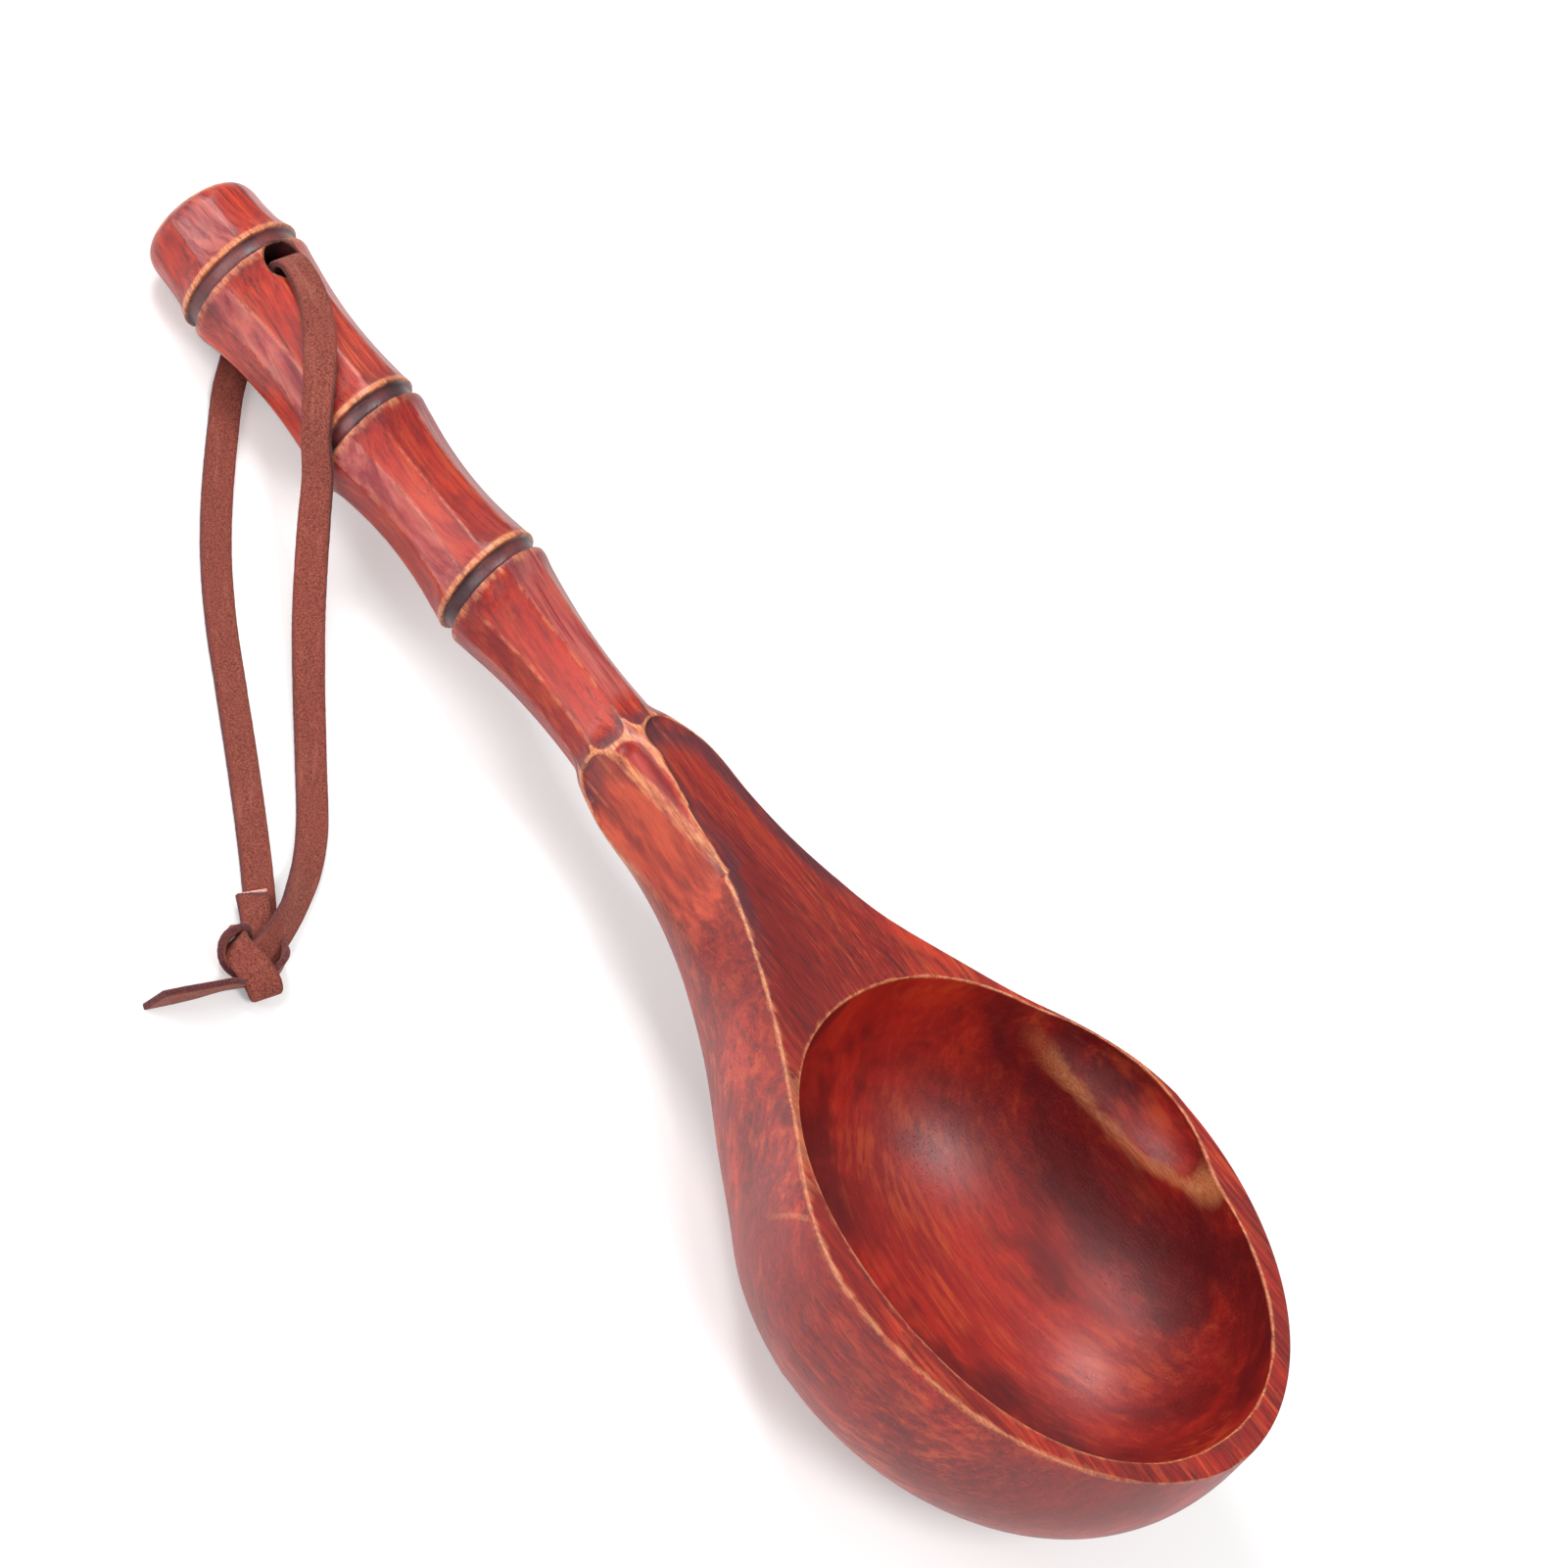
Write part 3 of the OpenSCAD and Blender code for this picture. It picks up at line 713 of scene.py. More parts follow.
def pouring_lip(x, y, z):
    """Less than zero in the scoop behind the pouring lip."""
    u, v, down = x - LIP_PLACE[0], y - LIP_PLACE[1], np.minimum(z, 0)
    share = np.sqrt((u / LIP[0]) ** 2 + (v / LIP[1]) ** 2 + (down / LIP[2]) ** 2)
    return beyond(np.sqrt(u * u + v * v + down ** 2), share)


def cavity(x, y, z, outside):
    """The hollow and its pouring lip, which leaves a thin wall at the rim."""
    return smooth_min(hollow(x, y, z), smooth_max(pouring_lip(x, y, z), outside + LIP_WALL, 0.5), 1.6)


FAR_OFF = 9.0


def handle_stages(x, y, z):
    """The handle with its hole, far from all the crests."""
    body = smooth_max(cane(x, y, z), END_X - x, 2 * END_ROUNDING)
    hole = np.sqrt((x - HOLE_X) ** 2 + y * y) - HOLE_RADIUS
    return smooth_max(body, -hole, 0.9), [np.full_like(x, FAR_OFF)] * 3


def neck_stages(x, y, z):
    """The neck, and the signed distances from the crests round its flat top, near facet and tongue."""
    body = cane(x, y, z)
    for cut in SIDE_CUTS:
        body = smooth_max(body, -scallop_cut(x, y, z, *cut), 0.7)
    body = np.maximum(body, x - CANE_END)
    hidden = 2.0 * (1 - soft_step(x, -151, -141))
    flank = smooth_max(loft(x, y, z) + hidden, tongue_top(x, y, z), 1.5)
    whole = smooth_min(body, flank, 1.2)
    near = near_trim(x, y, z)
    trimmed = smooth_max(whole, near, 0.8 + 1.7 * soft_step(x, -130, -100))
    scoop = tongue_scoop(x, y, z)
    scooped = smooth_max(trimmed, -scoop, 0.4)
    top = top_cut(x, y, z)
    return smooth_max(scooped, -top, 0.8), (scooped + top, whole - near, trimmed + scoop)


def bowl_stages(x, y, z):
    """The bowl, and the signed distances from the crests round its top and the near facet."""
    outside, near = loft(x, y, z), near_trim(x, y, z)
    trimmed = smooth_max(outside, near, 2.5 + 2.5 * soft_step(x, -75, -50))
    body = smooth_max(trimmed, z, 0.6)
    body = smooth_max(body, -cavity(x, y, z, outside), 0.6)
    foot = -(LAY_DOWN[2, 0] * (x + FOOT_BACK) + LAY_DOWN[2, 2] * (z - FOOT_Z))
    top_edge = trimmed - z * (1 - soft_step(-trimmed, 0.5, 2.5))
    return smooth_max(body, foot, 0.8), (top_edge, outside - near, np.full_like(x, FAR_OFF))


HANDLE_STOP = -152.0
NECK_STOP = -90.0


def ladle_stages(x, y, z):
    """Less than zero inside the wood, in about a millimetre near its surface, and the crests' distances."""
    value, crests = np.empty_like(x), np.empty((len(x), 3))
    for low, high, stages in ((-1e4, HANDLE_STOP, handle_stages), (HANDLE_STOP, NECK_STOP, neck_stages),
                              (NECK_STOP, 1e4, bowl_stages)):
        here = (x >= low) & (x < high)
        if here.any():
            value[here], found = stages(x[here], y[here], z[here])
            crests[here] = np.stack(found, -1)
    return value, crests


def ladle(x, y, z):
    return ladle_stages(x, y, z)[0]


BLOCK = 4


def grid_lines(fine):
    def line(*spans):
        """Even steps through spans of low, high and step, up to a whole number of blocks."""
        parts = [np.linspace(low, high, int(round((high - low) / (step * fine))) + 1)[:-1]
                 for low, high, step in spans]
        v = np.append(np.concatenate(parts), spans[-1][1])
        return np.append(v, v[-1] + (np.arange(-(len(v) - 1) % BLOCK) + 1) * (v[-1] - v[-2]))

    return (line((-312, -122, 0.6), (-122, 72, 0.75)),
            line((-62, -20, 0.8), (-20, 20, 0.6), (20, 44, 0.8), (44, 62, 0.5)),
            line((-62, -29, 0.9), (-29, -3, 0.6), (-3, 1.5, 0.4), (1.5, 9, 0.6)))


def corners(values):
    """The values at the eight corners of every cell of the grid, one array for each corner."""
    a, b, c = (n - 1 for n in values.shape)
    return [values[i:i + a, j:j + b, k:k + c] for i in (0, 1) for j in (0, 1) for k in (0, 1)]


def sample(field, xs, ys, zs):
    """The field at every point of the grid near its zero surface, and its sign elsewhere."""
    coarse = [v[::BLOCK] for v in (xs, ys, zs)]
    far = field(*(g.ravel() for g in np.meshgrid(*coarse, indexing="ij"))).reshape([len(c) for c in coarse])
    values = np.repeat(np.repeat(np.repeat(far[:-1, :-1, :-1], BLOCK, 0), BLOCK, 1), BLOCK, 2)
    values = np.pad(values, [(0, 1)] * 3, mode="edge").astype(np.float32)
    span = np.sqrt(sum(size ** 2 for size in np.meshgrid(*map(np.diff, coarse), indexing="ij")))
    nearest = np.min(np.abs(corners(far)), axis=0)
    near = np.zeros(values.shape, bool)
    for i, j, k in np.argwhere(nearest < 1.3 * span) * BLOCK:
        near[i:i + BLOCK + 1, j:j + BLOCK + 1, k:k + BLOCK + 1] = True
    spots = np.argwhere(near)
    for part in np.array_split(spots, max(len(spots) // 200000, 1)):
        i, j, k = part.T
        values[i, j, k] = field(xs[i], ys[j], zs[k])
    return values


def surface_net(field, xs, ys, zs):
    """A closed mesh of quads on the field's zero surface, one vertex to each cell that it crosses."""
    values = sample(field, xs, ys, zs)
    inside = values < 0
    count = sum(corner.astype(np.int8) for corner in corners(inside))
    cells = np.argwhere((count > 0) & (count < 8))
    index = np.full(count.shape, -1, np.int64)
    index[tuple(cells.T)] = np.arange(len(cells))
    total = np.zeros((len(cells), 3))
    hits = np.zeros(len(cells))
    axes = (xs, ys, zs)
    unit = np.eye(3, dtype=int)
    for a in range(3):
        b, c = (k for k in range(3) if k != a)
        for p, q in ((0, 0), (0, 1), (1, 0), (1, 1)):
            low = cells + p * unit[b] + q * unit[c]
            high = low + unit[a]
            v0, v1 = values[tuple(low.T)], values[tuple(high.T)]
            cross = (v0 < 0) != (v1 < 0)
            t = np.where(cross, v0 / np.where(cross, v0 - v1, 1), 0)
            point = np.stack([axes[k][low[:, k]] for k in range(3)], -1)
            point[:, a] += t * (axes[a][high[:, a]] - axes[a][low[:, a]])
            total += np.where(cross[:, None], point, 0)
            hits += cross
    verts = total / hits[:, None]
    faces = []
    for a in range(3):
        b, c = (a + 1) % 3, (a + 2) % 3
        edges = np.argwhere(np.diff(inside, axis=a))
        edges = edges[(edges[:, b] > 0) & (edges[:, c] > 0) & (edges[:, b] < inside.shape[b] - 1)
                      & (edges[:, c] < inside.shape[c] - 1)]
        out = inside[tuple(edges.T)]
        ring = (edges - p * unit[b] - q * unit[c] for p, q in ((1, 1), (0, 1), (0, 0), (1, 0)))
        quad = np.stack([index[tuple(cell.T)] for cell in ring], -1)
        faces.append(np.where(out[:, None], quad, quad[:, ::-1]))
    return verts, np.vstack(faces)


def slopes_at(field, p, h=0.05):
    grad = np.empty_like(p)
    for k in range(3):
        step = np.zeros(3)
        step[k] = h
        grad[:, k] = (field(*(p + step).T) - field(*(p - step).T)) / (2 * h)
    return grad


def settle(field, verts, rounds=4, reach=0.5):
    """Moves each vertex onto the field's zero surface."""
    p = verts.copy()
    for _ in range(rounds):
        value = field(*p.T)
        grad = slopes_at(field, p)
        length2 = np.maximum((grad ** 2).sum(1), 0.04)
        move = -grad * (value / length2)[:, None]
        size = np.linalg.norm(move, axis=1)
        move *= np.minimum(1, reach / np.maximum(size, 1e-9))[:, None]
        p += move
    return p


def bend_of_surface(field, p, normals, h=1.1):
    """More than zero on a sharp outer edge, less in a groove."""
    helper = np.where(np.abs(normals[:, :1]) < 0.8, [[1.0, 0, 0]], [[0, 1.0, 0]])
    u = np.cross(normals, helper)
    u /= np.linalg.norm(u, axis=1)[:, None]
    v = np.cross(normals, u)
    total = np.zeros(len(p))
    for way in (u, -u, v, -v, (u + v) * 0.7071, (u - v) * 0.7071, (v - u) * 0.7071, -(u + v) * 0.7071):
        total += field(*(p + way * h).T)
    return total / 8 / h


def make_ladle():
    verts, faces = surface_net(ladle, *grid_lines(2.0 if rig.quick() else 1.0))
    verts = settle(ladle, verts)
    normals = slopes_at(ladle, verts)
    normals /= np.linalg.norm(normals, axis=1)[:, None]
    obj = link_mesh("ladle_carved", to_table(verts) * MM, faces, normals @ LAY_DOWN.T)
    x, y, z = verts.T

    # Signed distances from the crests, from the rim and the lip, and from the nodes and flats
    keep(obj, "crest", np.clip(ladle_stages(x, y, z)[1], -FAR_OFF, FAR_OFF))
    inside = cavity(x, y, z, loft(x, y, z))
    rim = np.maximum(inside, 0) + z * (1 - soft_step(inside, 0.2, 0.8))
    keep(obj, "bowl", np.clip(np.stack([rim, hollow(x, y, z) - pouring_lip(x, y, z), z], -1), -30, 30))
    place = straightened(x, y, z)
    turn = turn_about(y, z, place)
    nodes = np.array(NODES_X)
    node_gap = place - nodes[np.argmin(np.abs(place[:, None] - nodes), axis=1)]
    ridge = by_segment(ACROSS_TABLES, place, turn) * np.interp(place, CANE_X, CANE_FLATS)
    flats_end = np.clip(past_last_flats(x, turn), -FAR_OFF, FAR_OFF)
    keep(obj, "cane", np.stack([node_gap, ridge, flats_end], -1))

    tone = np.empty(len(verts))
    segment = np.searchsorted(NODES_X, place)
    for k, (ridges, tones) in enumerate(zip(RIDGES, FLAT_TONES)):
        here = segment == k
        tone[here] = np.take(tones, np.searchsorted(ridges, turn[here]) - 1)
    keep(obj, "tone", tone)
    keep(obj, "end_grain", np.abs(normals[:, 0]))
    keep(obj, "wear", bend_of_surface(ladle, verts, normals, 1.6))
    keep(obj, "broad", bend_of_surface(ladle, verts, normals, 3.2))
    keep(obj, "wood", verts * MM)
    return obj


carved = make_ladle()


# Materials

def linear(red, green, blue):
    """A colour as a screen shows it, 0 to 255, in the shader's own numbers."""
    shown = (v / 255 for v in (red, green, blue))
    return (*(v / 12.92 if v <= 0.04 else ((v + 0.055) / 1.055) ** 2.4 for v in shown), 1)


class Nodes:
    """Short ways to make and join the shader nodes of one material, with colours as a screen shows them."""

    def __init__(self, name):
        self.material = bpy.data.materials.new(name)
        self.material.use_nodes = True
        self.tree = self.material.node_tree
        self.shader = self.tree.nodes["Principled BSDF"]
        self.colour = None

    def put(self, socket, value):
        if isinstance(value, bpy.types.NodeSocket):
            self.tree.links.new(value, socket)
        else:
            socket.default_value = linear(*value) if socket.type == "RGBA" else value

    def outputs(self, kind, inputs=None, **settings):
        """The outputs of a new node, whose inputs are values or the outputs of others."""
        node = self.tree.nodes.new("ShaderNode" + kind)
        for key, value in settings.items():
            setattr(node, key, value)
        for key, value in (inputs or {}).items():
            self.put(node.inputs[key], value)
        return node.outputs

    def constants(self, values):
        for key, value in values.items():
            self.shader.inputs[key].default_value = value

    def attribute(self, name):
        return self.outputs("Attribute", attribute_name=name)["Fac"]

    def vectors(self, name):
        return self.outputs("Attribute", attribute_name=name)["Vector"]

    def split(self, vector):
        return tuple(self.outputs("SeparateXYZ", {0: vector}))

    def vector_math(self, operation, *values, output="Vector"):
        return self.outputs("VectorMath", dict(enumerate(values)), operation=operation)[output]

    def chain(self, operation, *values):
        """One value from several, joined one after another."""
        result = values[0]
        for value in values[1:]:
            result = self.outputs("Math", {0: result, 1: value}, operation=operation)[0]
        return result

    def product(self, *values):
        return self.chain("MULTIPLY", *values)

    def away(self, value, place=0):
        """How far a value is from a place, either way."""
        return self.chain("ABSOLUTE", self.chain("SUBTRACT", value, place), 0)

    def stretched(self, vector, scale, turn=(0, 0, 0)):
        return self.outputs("Mapping", {"Vector": vector, "Scale": scale, "Rotation": turn})[0]

    def noise(self, vector, scale, detail, rough=0.5, distort=0.0, output="Fac"):
        """Noise whose features get smaller along each axis as its scale grows."""
        place = self.stretched(vector, scale)
        return self.outputs("TexNoise", {"Vector": place, "Scale": 1, "Detail": detail, "Roughness": rough,
                                         "Distortion": distort})[output]

    def ramp(self, value, low, high, start=0, end=1):
        """A smooth step from the start, where the value is low, to the end, where it is high."""
        return self.outputs("MapRange", {"Value": value, "From Min": low, "From Max": high, "To Min": start,
                                         "To Max": end}, interpolation_type="SMOOTHSTEP")["Result"]

    def mix(self, share, a, b):
        return self.outputs("Mix", {"Factor": share, "A": a, "B": b}, data_type="RGBA")["Result"]

    def paint(self, colour, *masks):
        """Lays a colour over what is there, as strongly as all the masks together let it."""
        self.colour = self.mix(self.product(*masks), self.colour, colour)

    def bump(self, height, strength, distance):
        bump = self.outputs("Bump", {"Height": height, "Strength": strength, "Distance": distance})[0]
        self.put(self.shader.inputs["Normal"], bump)

    def finished(self):
        self.put(self.shader.inputs["Base Color"], self.colour)
        return self.material


def wood_material():
    """Stained wood. Places along and across it are in metres, distances from its edges in millimetres."""
    n = Nodes("wood")
    ramp, paint, product, away = n.ramp, n.paint, n.product, n.away
    wood = n.vectors("wood")
    along, across, _ = n.split(wood)
    # A slow wave in the grain, so that streaks don't run dead straight
    drift = n.noise(wood, (12, 26, 26), 1, output="Color")
    grain = n.vector_math("MULTIPLY_ADD", drift, (0, 0.009, 0.009), wood)
    # Growth layers: thin one way, wide the other
    layers = n.stretched(grain, (1, 1, 1), (math.radians(14), 0, math.radians(1.5)))
    bands = n.noise(layers, (14, 110, 52), 3, 0.55, 0.3)
    streaks = n.noise(layers, (40, 720, 260), 4, 0.6, 0.2)
    dashes = n.noise(layers, (100, 1500, 800), 3, 0.6)
    fibres = n.noise(layers, (160, 3300, 2400), 3, 0.6)
    pores = n.noise(grain, (620, 4600, 4600), 2)
    pore_zones = n.noise(wood, (55, 140, 140), 3, 0.6)
    zones = n.noise(wood, (17, 30, 30), 2, 0.5, 0.5)
    cloud = n.noise(wood, (46, 60, 60), 5, 0.6, 1)
    blotch = n.noise(wood, (24, 38, 38), 3, 0.55, 0.8)
    patchy = n.noise(wood, (70, 110, 110), 3, 0.6)
    rubbed = n.noise(wood, (260, 420, 420), 4, 0.6)
    end_grain = n.attribute("end_grain")
    side_grain = ramp(end_grain, 0.45, 0.85, 1, 0.3)

    orange, bright, red = (204, 84, 40), (198, 54, 28), (172, 36, 26)
    deep, burgundy, soot = (128, 22, 20), (88, 12, 16), (42, 12, 18)
    n.colour = deep
    paint(red, ramp(bands, 0.34, 0.64))
    paint(bright, ramp(bands, 0.5, 0.66), ramp(zones, 0.4, 0.58))
    paint(burgundy, ramp(zones, 0.52, 0.36), 0.6)
    paint(orange, ramp(streaks, 0.5, 0.66), ramp(zones, 0.36, 0.56, 0.25, 0.85), side_grain)
    paint(burgundy, ramp(streaks, 0.5, 0.34), 0.75, side_grain)
    paint(bright, ramp(dashes, 0.56, 0.7), 0.5, side_grain)
    paint(soot, ramp(dashes, 0.46, 0.3), 0.7, side_grain)
    paint(soot, ramp(cloud, 0.56, 0.74), 0.6)
    paint(orange, ramp(fibres, 0.5, 0.72), 0.3)
    paint(burgundy, ramp(fibres, 0.5, 0.28), 0.35)
    pore_mark = product(ramp(pores, 0.6, 0.66), ramp(pore_zones, 0.4, 0.58))
    paint((46, 16, 24), pore_mark, 0.85)

    top_edge, near_edge, scoop_edge = n.split(n.vectors("crest"))
    cavity_edge, lip_edge, height = n.split(n.vectors("bowl"))
    node_gap, ridge, past_flats = n.split(n.vectors("cane"))
    in_neck = product(ramp(along, -0.1, -0.092, 1, 0), ramp(along, -0.152, -0.148))
    bowl_end = ramp(along, -0.11, -0.09)
    off_top = ramp(top_edge, -0.6, -0.1)

    # The handle is deeper past its second node, and its flats differ: partly in the stain's tone, partly in painted
    # sheen
    past_node = (along, -0.243, -0.237, 0)
    on_cane = product(ramp(along, -0.148, -0.153), ramp(end_grain, 0.9, 0.6))
    paint(deep, ramp(*past_node, 0.24))
    paint(deep, on_cane, ramp(*past_node, 0.26))
    # Lilac-pink or saturated orange-red painted on alternate flats: partly the stain's own tone, partly a painted
    # sheen on the lilac flats
    tone = n.attribute("tone")
    lilac = n.mix(ramp(streaks, 0.36, 0.62), (150, 66, 76), (208, 128, 122))
    paint(lilac, on_cane, ramp(tone, 0.5, 1, 0, 0.5), ramp(patchy, 0.3, 0.6, 0.6, 1))
    paint((196, 46, 22), on_cane, ramp(tone, 0.45, 0, 0, 0.45), ramp(dashes, 0.4, 0.6, 0.3, 1))

    # The flat top is deeper, with fine lighter fibres
    on_top = product(ramp(top_edge, -2, -6), ramp(height, -0.6, -0.2), ramp(along, -0.05, -0.07))
    paint((108, 8, 8), on_top, ramp(zones, 0.34, 0.6, 0.85, 0.6))
    paint((190, 74, 32), on_top, ramp(fibres, 0.5, 0.7), ramp(zones, 0.4, 0.6, 0.15, 0.5))
    paint(soot, on_top, ramp(dashes, 0.47, 0.34), 0.55)

    # The hollow is darker and redder; its far wall is darker still, as painted shade
    inner = product(ramp(cavity_edge, 0.2, -0.6), bowl_end)
    paint(n.mix(ramp(zones, 0.36, 0.6), (112, 12, 14), (182, 32, 22)), inner, 0.42)
    paint((76, 8, 14), inner, ramp(blotch, 0.5, 0.36), 0.6)
    paint((190, 74, 34), inner, ramp(blotch, 0.52, 0.68), ramp(streaks, 0.4, 0.6), 0.6)
    # Painted shade: the far wall of the hollow is darkened
    paint((70, 6, 12), inner, ramp(across, 0.018, 0.046), ramp(patchy, 0.3, 0.62, 0.3, 0.68))
    paint(soot, inner, ramp(lip_edge, 0.5, 5), ramp(patchy, 0.35, 0.6, 0, 0.4))

    # The near facet is lighter, and a faint line crosses the flank below the rim
    paint((214, 88, 56), in_neck, ramp(near_edge, 0, -0.8), off_top,
          ramp(streaks, 0.36, 0.6, 0.15, 0.5))
    flank_gap = n.chain("ADD", product(along, 1000), product(height, -0.56), 24.4,
                        ramp(patchy, 0.3, 0.7, -0.5, 0.5))
    on_flank = product(ramp(across, -0.03, -0.035), ramp(cavity_edge, 0.4, 1), ramp(height, -0.6, -1.6))
    paint((206, 122, 76), on_flank, ramp(away(flank_gap), 1, 0.2), ramp(fibres, 0.35, 0.6, 0.15, 0.5),
          ramp(height, -20, -6))
    paint((150, 26, 22), on_flank, ramp(flank_gap, 0.6, 1.2), ramp(flank_gap, 20, 8), 0.25)

    # Darker in hollow places, where the surface bends inwards; stain lies thick along the flat top's edge and where
    # facets begin and end
    # Darkens where the surface bends inwards, more where it bends more
    paint((58, 20, 26), ramp(n.attribute("wear"), -0.05, -0.2, 0, 0.75))
    plum = n.mix(ramp(fibres, 0.35, 0.65), (62, 24, 34), (98, 36, 42))
    paint(plum, ramp(top_edge, -4.8, -2.2), ramp(along, -0.07, -0.095), ramp(patchy, 0.3, 0.55, 0.55, 0.95),
          ramp(top_edge, 0.3, -0.3))
    paint(plum, ramp(near_edge, 0.2, -0.4), ramp(along, -0.132, -0.139), ramp(near_edge, -5.5, -1.5),
          ramp(patchy, 0.3, 0.6, 0.4, 0.9))
    paint(plum, ramp(along, -0.156, -0.147), ramp(along, -0.1, -0.11), ramp(past_flats, -5, -1.2),
          ramp(past_flats, 0.6, -0.2), ramp(patchy, 0.35, 0.6, 0.3, 0.9))
    paint(n.mix(ramp(streaks, 0.4, 0.6), deep, red), in_neck, ramp(scoop_edge, 0.8, 0.3), off_top,
          ramp(near_edge, 0.3, 0.8), 0.75)
    paint(n.mix(ramp(patchy, 0.35, 0.65), (52, 28, 36), (104, 48, 48)),
          ramp(node_gap, -2.3, -1.8), ramp(node_gap, 2.6, 2), ramp(rubbed, 0.35, 0.62, 0.8, 1))
    # The hole's wall and a thin ring round its mouth are painted nearly black
    flat_place = n.vector_math("MULTIPLY", wood, (1, 1, 0))
    from_hole = n.vector_math("DISTANCE", flat_place, (HOLE_X * MM, 0, 0), output="Value")
    hole_wall = ramp(from_hole, (HOLE_RADIUS + 0.9) * MM, (HOLE_RADIUS + 0.2) * MM)
    paint((30, 12, 14), hole_wall, 0.93)

    # Stain is rubbed off the edges; the line along the pouring lip is partly a painted sheen
    tan = n.mix(ramp(fibres, 0.3, 0.65), (184, 88, 46), (226, 162, 112))
    tan = n.mix(product(ramp(rubbed, 0.6, 0.72), 0.6), tan, (146, 60, 42))
    tan = n.mix(ramp(patchy, 0.42, 0.62, 0, 0.45), tan, (186, 92, 66))
    tan = n.mix(product(in_neck, ramp(streaks, 0.52, 0.4), 0.5), tan, (150, 58, 44))
    line_width = ramp(patchy, 0.35, 0.65, 0.45, 1.25)

    def line(edge, place, outer, core):
        return ramp(n.chain("DIVIDE", away(edge, place), line_width), outer, core)

    past_cane = ramp(along, -0.15, -0.147)
    far_side = ramp(across, -0.001, 0.006, 1, 0.08)
    nearest = n.chain("MINIMUM", near_edge, top_edge, scoop_edge, past_flats)
    off_hole = n.chain("SUBTRACT", 1, hole_wall)
    flat_top_edge = (line(top_edge, 0.1, 1.05, 0.35), ramp(rubbed, 0.36, 0.56, 0.35, 1), far_side, past_cane,
                     ramp(along, -0.1, -0.05, 1, 0.5), ramp(patchy, 0.32, 0.55, 0.5, 1))
    near_facet_edge = (ramp(away(near_edge, 0.2), 1.1, 0.3), ramp(height, -13, -7, 0.3, 1), off_top,
                       ramp(along, -0.1, -0.114, 0, 0.8), past_cane, ramp(rubbed, 0.36, 0.56, 0.3, 1))
    rim = (line(cavity_edge, 0, 0.8, 0.25), bowl_end, ramp(rubbed, 0.36, 0.56, 0.2, 0.75))
    web = (in_neck, ramp(past_flats, -0.3, 0.5), ramp(near_edge, -0.4, 0.2), ramp(top_edge, -0.4, 0.2),
           ramp(scoop_edge, 0.3, 0.85), ramp(along, -0.112, -0.124, 0.15, 1), ramp(nearest, 2.6, 1.6),
           ramp(rubbed, 0.34, 0.56, 0.55, 1))
    groove_back = (ramp(node_gap, -3.7, -3.1), ramp(node_gap, -1.6, -2.1), ramp(rubbed, 0.36, 0.54, 0.3, 1),
                   ramp(patchy, 0.34, 0.56, 0.4, 1))
    groove_front = (ramp(node_gap, 1.8, 2.2), ramp(node_gap, 4.6, 2.6), ramp(rubbed, 0.4, 0.6, 0.05, 0.7),
                    ramp(patchy, 0.36, 0.58, 0.25, 1))
    handle_end = (ramp(along, -0.3069, -0.3077), ramp(along, -0.3089, -0.3086),
                  ramp(rubbed, 0.38, 0.56, 0.2, 0.85))
    for masks in (flat_top_edge, near_facet_edge, rim, web, groove_back, groove_front, handle_end):
        paint(tan, *masks, off_hole)
    # A pale line along the crest where the pouring lip meets the hollow: partly stain rubbed off, partly a painted
    # sheen
    paint(n.mix(ramp(fibres, 0.3, 0.7), (176, 92, 44), (204, 140, 96)),
          line(lip_edge, -0.6, 2.6, 0.2), inner, ramp(patchy, 0.3, 0.6, 0.35, 0.8),
          ramp(along, -0.045, -0.02), ramp(height, -22, -8))

    # Purple marks beside the grooves, the paler ridges between the flats (partly rubbed stain, partly painted sheen),
    # and wear on broad edges
    paint(plum, ramp(node_gap, 9, 3), ramp(node_gap, 2, 3), ramp(cloud, 0.44, 0.58),
          ramp(along, -0.16, -0.17), 0.5)
    # Paler ridges between the flats: partly stain rubbed off, partly a painted sheen along each ridge
    paint((214, 120, 84), ramp(ridge, 0.84, 0.97), ramp(rubbed, 0.4, 0.62, 0.05, 0.4))
    worn = n.chain("ADD", n.attribute("broad"), ramp(rubbed, 0.3, 0.7, -0.1, 0.1))
    paint(tan, ramp(worn, 0.16, 0.34, 0, 0.3), product(far_side, ramp(along, 0.06, 0.045)))

    gloss = n.chain("ADD", ramp(fibres, 0.3, 0.7, 0.36, 0.44), product(pore_mark, 0.2))
    n.put(n.shader.inputs["Roughness"], gloss)
    n.constants({"Coat Weight": 0.12, "Coat Roughness": 0.3, "Specular IOR Level": 0.42})
    n.bump(n.chain("SUBTRACT", product(fibres, 0.35), pore_mark), 0.25, 0.0006)
    return n.finished()


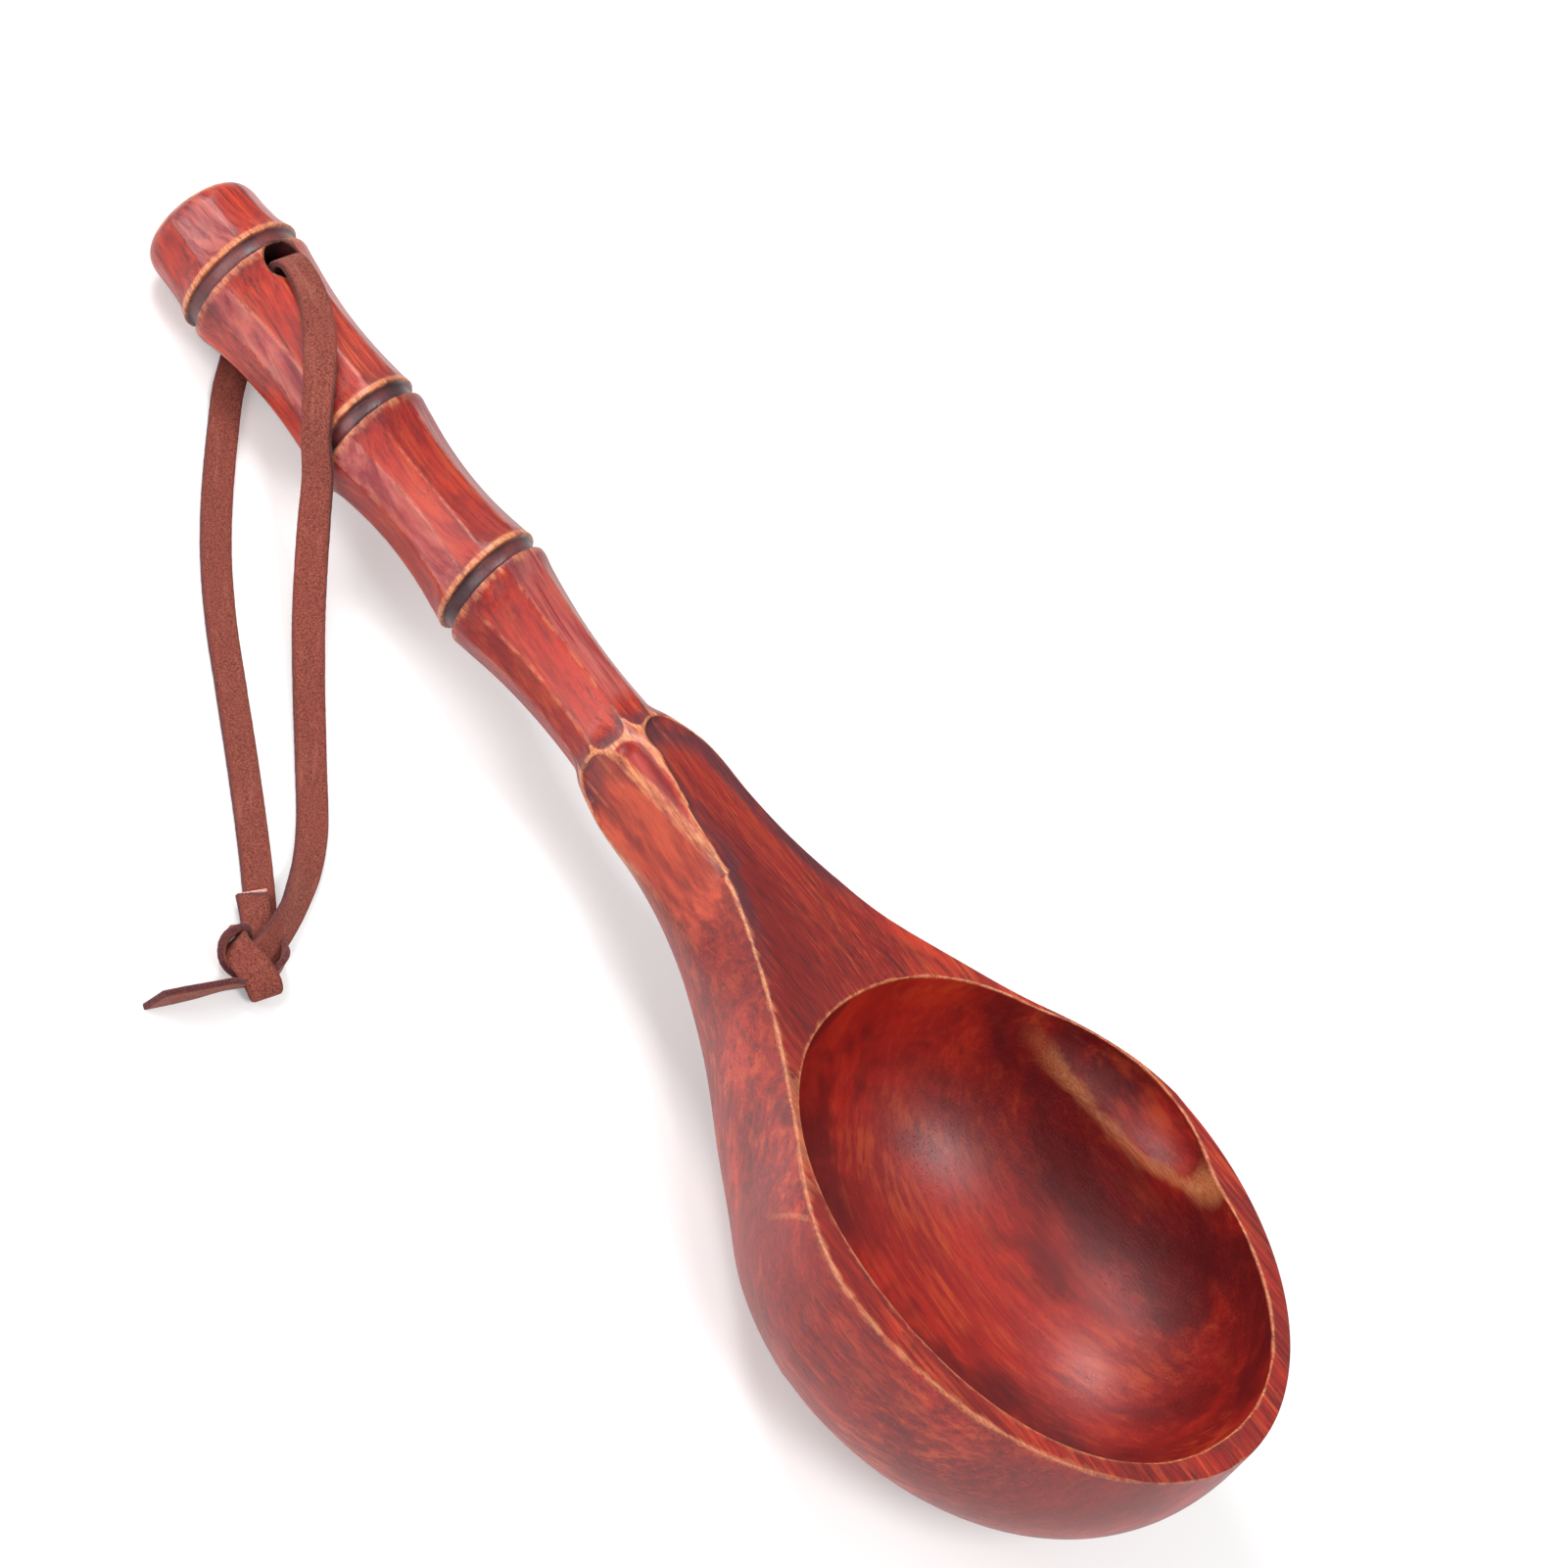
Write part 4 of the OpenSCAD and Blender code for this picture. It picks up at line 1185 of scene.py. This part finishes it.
def leather_material():
    """Dull brown leather, with darker cut edges. Places on the strip are in metres."""
    n = Nodes("leather")
    ramp, paint = n.ramp, n.paint
    strip = n.vectors("strip")
    _, over, left = n.split(strip)
    place = n.outputs("TexCoord")["Object"]
    nap = n.noise(place, (2300, 2300, 2300), 3, 0.7)
    fleck = n.noise(place, (1200, 1200, 1200), 2, 0.6)
    mottle = n.noise(place, (240, 240, 240), 4, 0.6)
    rubbed = n.noise(strip, (60, 400, 1), 3, 0.6)
    n.colour = (92, 40, 34)
    paint((153, 83, 68), ramp(nap, 0.36, 0.64))
    paint((132, 62, 54), ramp(mottle, 0.35, 0.65, 0, 0.4))
    paint((176, 106, 88), ramp(rubbed, 0.52, 0.75), 0.35)
    paint((82, 34, 30), ramp(fleck, 0.62, 0.7), 0.55)
    frayed = n.chain("ADD", n.away(over), ramp(nap, 0.3, 0.7, -0.0003, 0.0003))
    paint((104, 50, 46), ramp(frayed, 0.0031, 0.0036, 0, 0.5))
    # The short tail's curled end is dark, and pale on its very cut
    curled = n.attribute("curled")
    ragged = n.chain("ADD", left, ramp(nap, 0.3, 0.7, -0.0002, 0.0002))
    paint((100, 56, 60), curled, ramp(ragged, 0.0014, 0.0011))
    cut = n.mix(ramp(nap, 0.4, 0.7), (66, 34, 42), (112, 62, 62))
    paint(cut, ramp(n.attribute("edge"), 0.3, 1, 0, 0.9))
    paint((226, 170, 150), curled, ramp(ragged, 0.0005, 0.0002))
    n.constants({"Roughness": 0.95, "Specular IOR Level": 0.2, "Sheen Weight": 0.2, "Sheen Roughness": 0.5,
                 "Sheen Tint": (0.9, 0.6, 0.5, 1)})
    n.bump(nap, 0.42, 0.0004)
    return n.finished()


# Floor and light

FLOOR_LIFT = 0.25


def make_floor():
    bpy.ops.mesh.primitive_plane_add(size=6, location=(0, 0, -0.0002))
    floor = bpy.context.object
    floor.name = "floor"
    n = Nodes("floor")
    n.constants({"Base Color": (0.8, 0.8, 0.8, 1), "Roughness": 0.9, "Specular IOR Level": 0.0,
                 "Emission Color": (1, 1, 1, 1)})
    rays = n.outputs("LightPath")
    seen = n.chain("MAXIMUM", rays["Is Camera Ray"], rays["Is Glossy Ray"], rays["Is Transmission Ray"])
    n.put(n.shader.inputs["Emission Strength"], n.product(seen, FLOOR_LIFT))
    floor.data.materials.append(n.material)
    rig.stage(floor)


def make_light(name, place, target, size, power):
    data = bpy.data.lights.new(name, "AREA")
    data.shape = "SQUARE"
    data.size = size
    data.energy = power
    obj = put_in_scene(name, data)
    obj.location = place
    way = Vector(target) - Vector(place)
    obj.rotation_euler = way.to_track_quat("-Z", "Y").to_euler()


make_floor()
make_light("key", (0.62, -0.36, 1.2), (-0.04, 0, 0.02), 0.5, 9.5)
make_light("back", (-1.05, 0.0, 1.0), (-0.02, 0, 0.02), 0.36, 8.5)
make_light("side", (-0.8, -0.95, 0.62), (-0.16, 0, 0.03), 0.8, 9)
world = bpy.data.worlds.new("world")
bpy.context.scene.world = world
world.use_nodes = True
background = world.node_tree.nodes["Background"].inputs
background["Color"].default_value = (1, 1, 1, 1)
background["Strength"].default_value = 0.5
bpy.context.scene.view_settings.view_transform = "Standard"

# Materials, bodies, replaced solids and cords

leather = leather_material()
carved.data.materials.append(wood_material())
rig.ride(carved, "ladle")
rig.replaces(carved, "ladle")
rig.slot(carved, "wood")
for strip, node in ((front_leg, "thong_front_leg"), (back_leg, "thong_back_leg"),
                    (long_tail, "thong_long_tail"), (short_tail, "thong_short_tail"),
                    (wrap, "thong_knot"), (loop, "thong_knot"), (fold, "thong_knot")):
    strip.data.materials.append(leather)
    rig.ride(strip, "thong")
    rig.replaces(strip, node)
    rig.slot(strip, "leather")

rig.cord(front_leg, exit=front_path[0], length=line_length(front_path), diameter=STRAP_WIDTH * MM,
        far_end="knot", stiffness="limp", lay="loose", with_pieces=[wrap, loop, fold, long_tail],
        path=front_path)
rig.cord(back_leg, exit=back_path[0], length=line_length(back_path), diameter=STRAP_WIDTH * MM,
        far_end="knot", stiffness="limp", lay="loose", with_pieces=[short_tail], path=back_path)

looks_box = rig.bounds()
with open("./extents.json", "w") as out:
    json.dump({"cad": [list(map(float, corner)) for corner in cad_box],
               "looks": [list(map(float, corner)) for corner in looks_box]}, out)
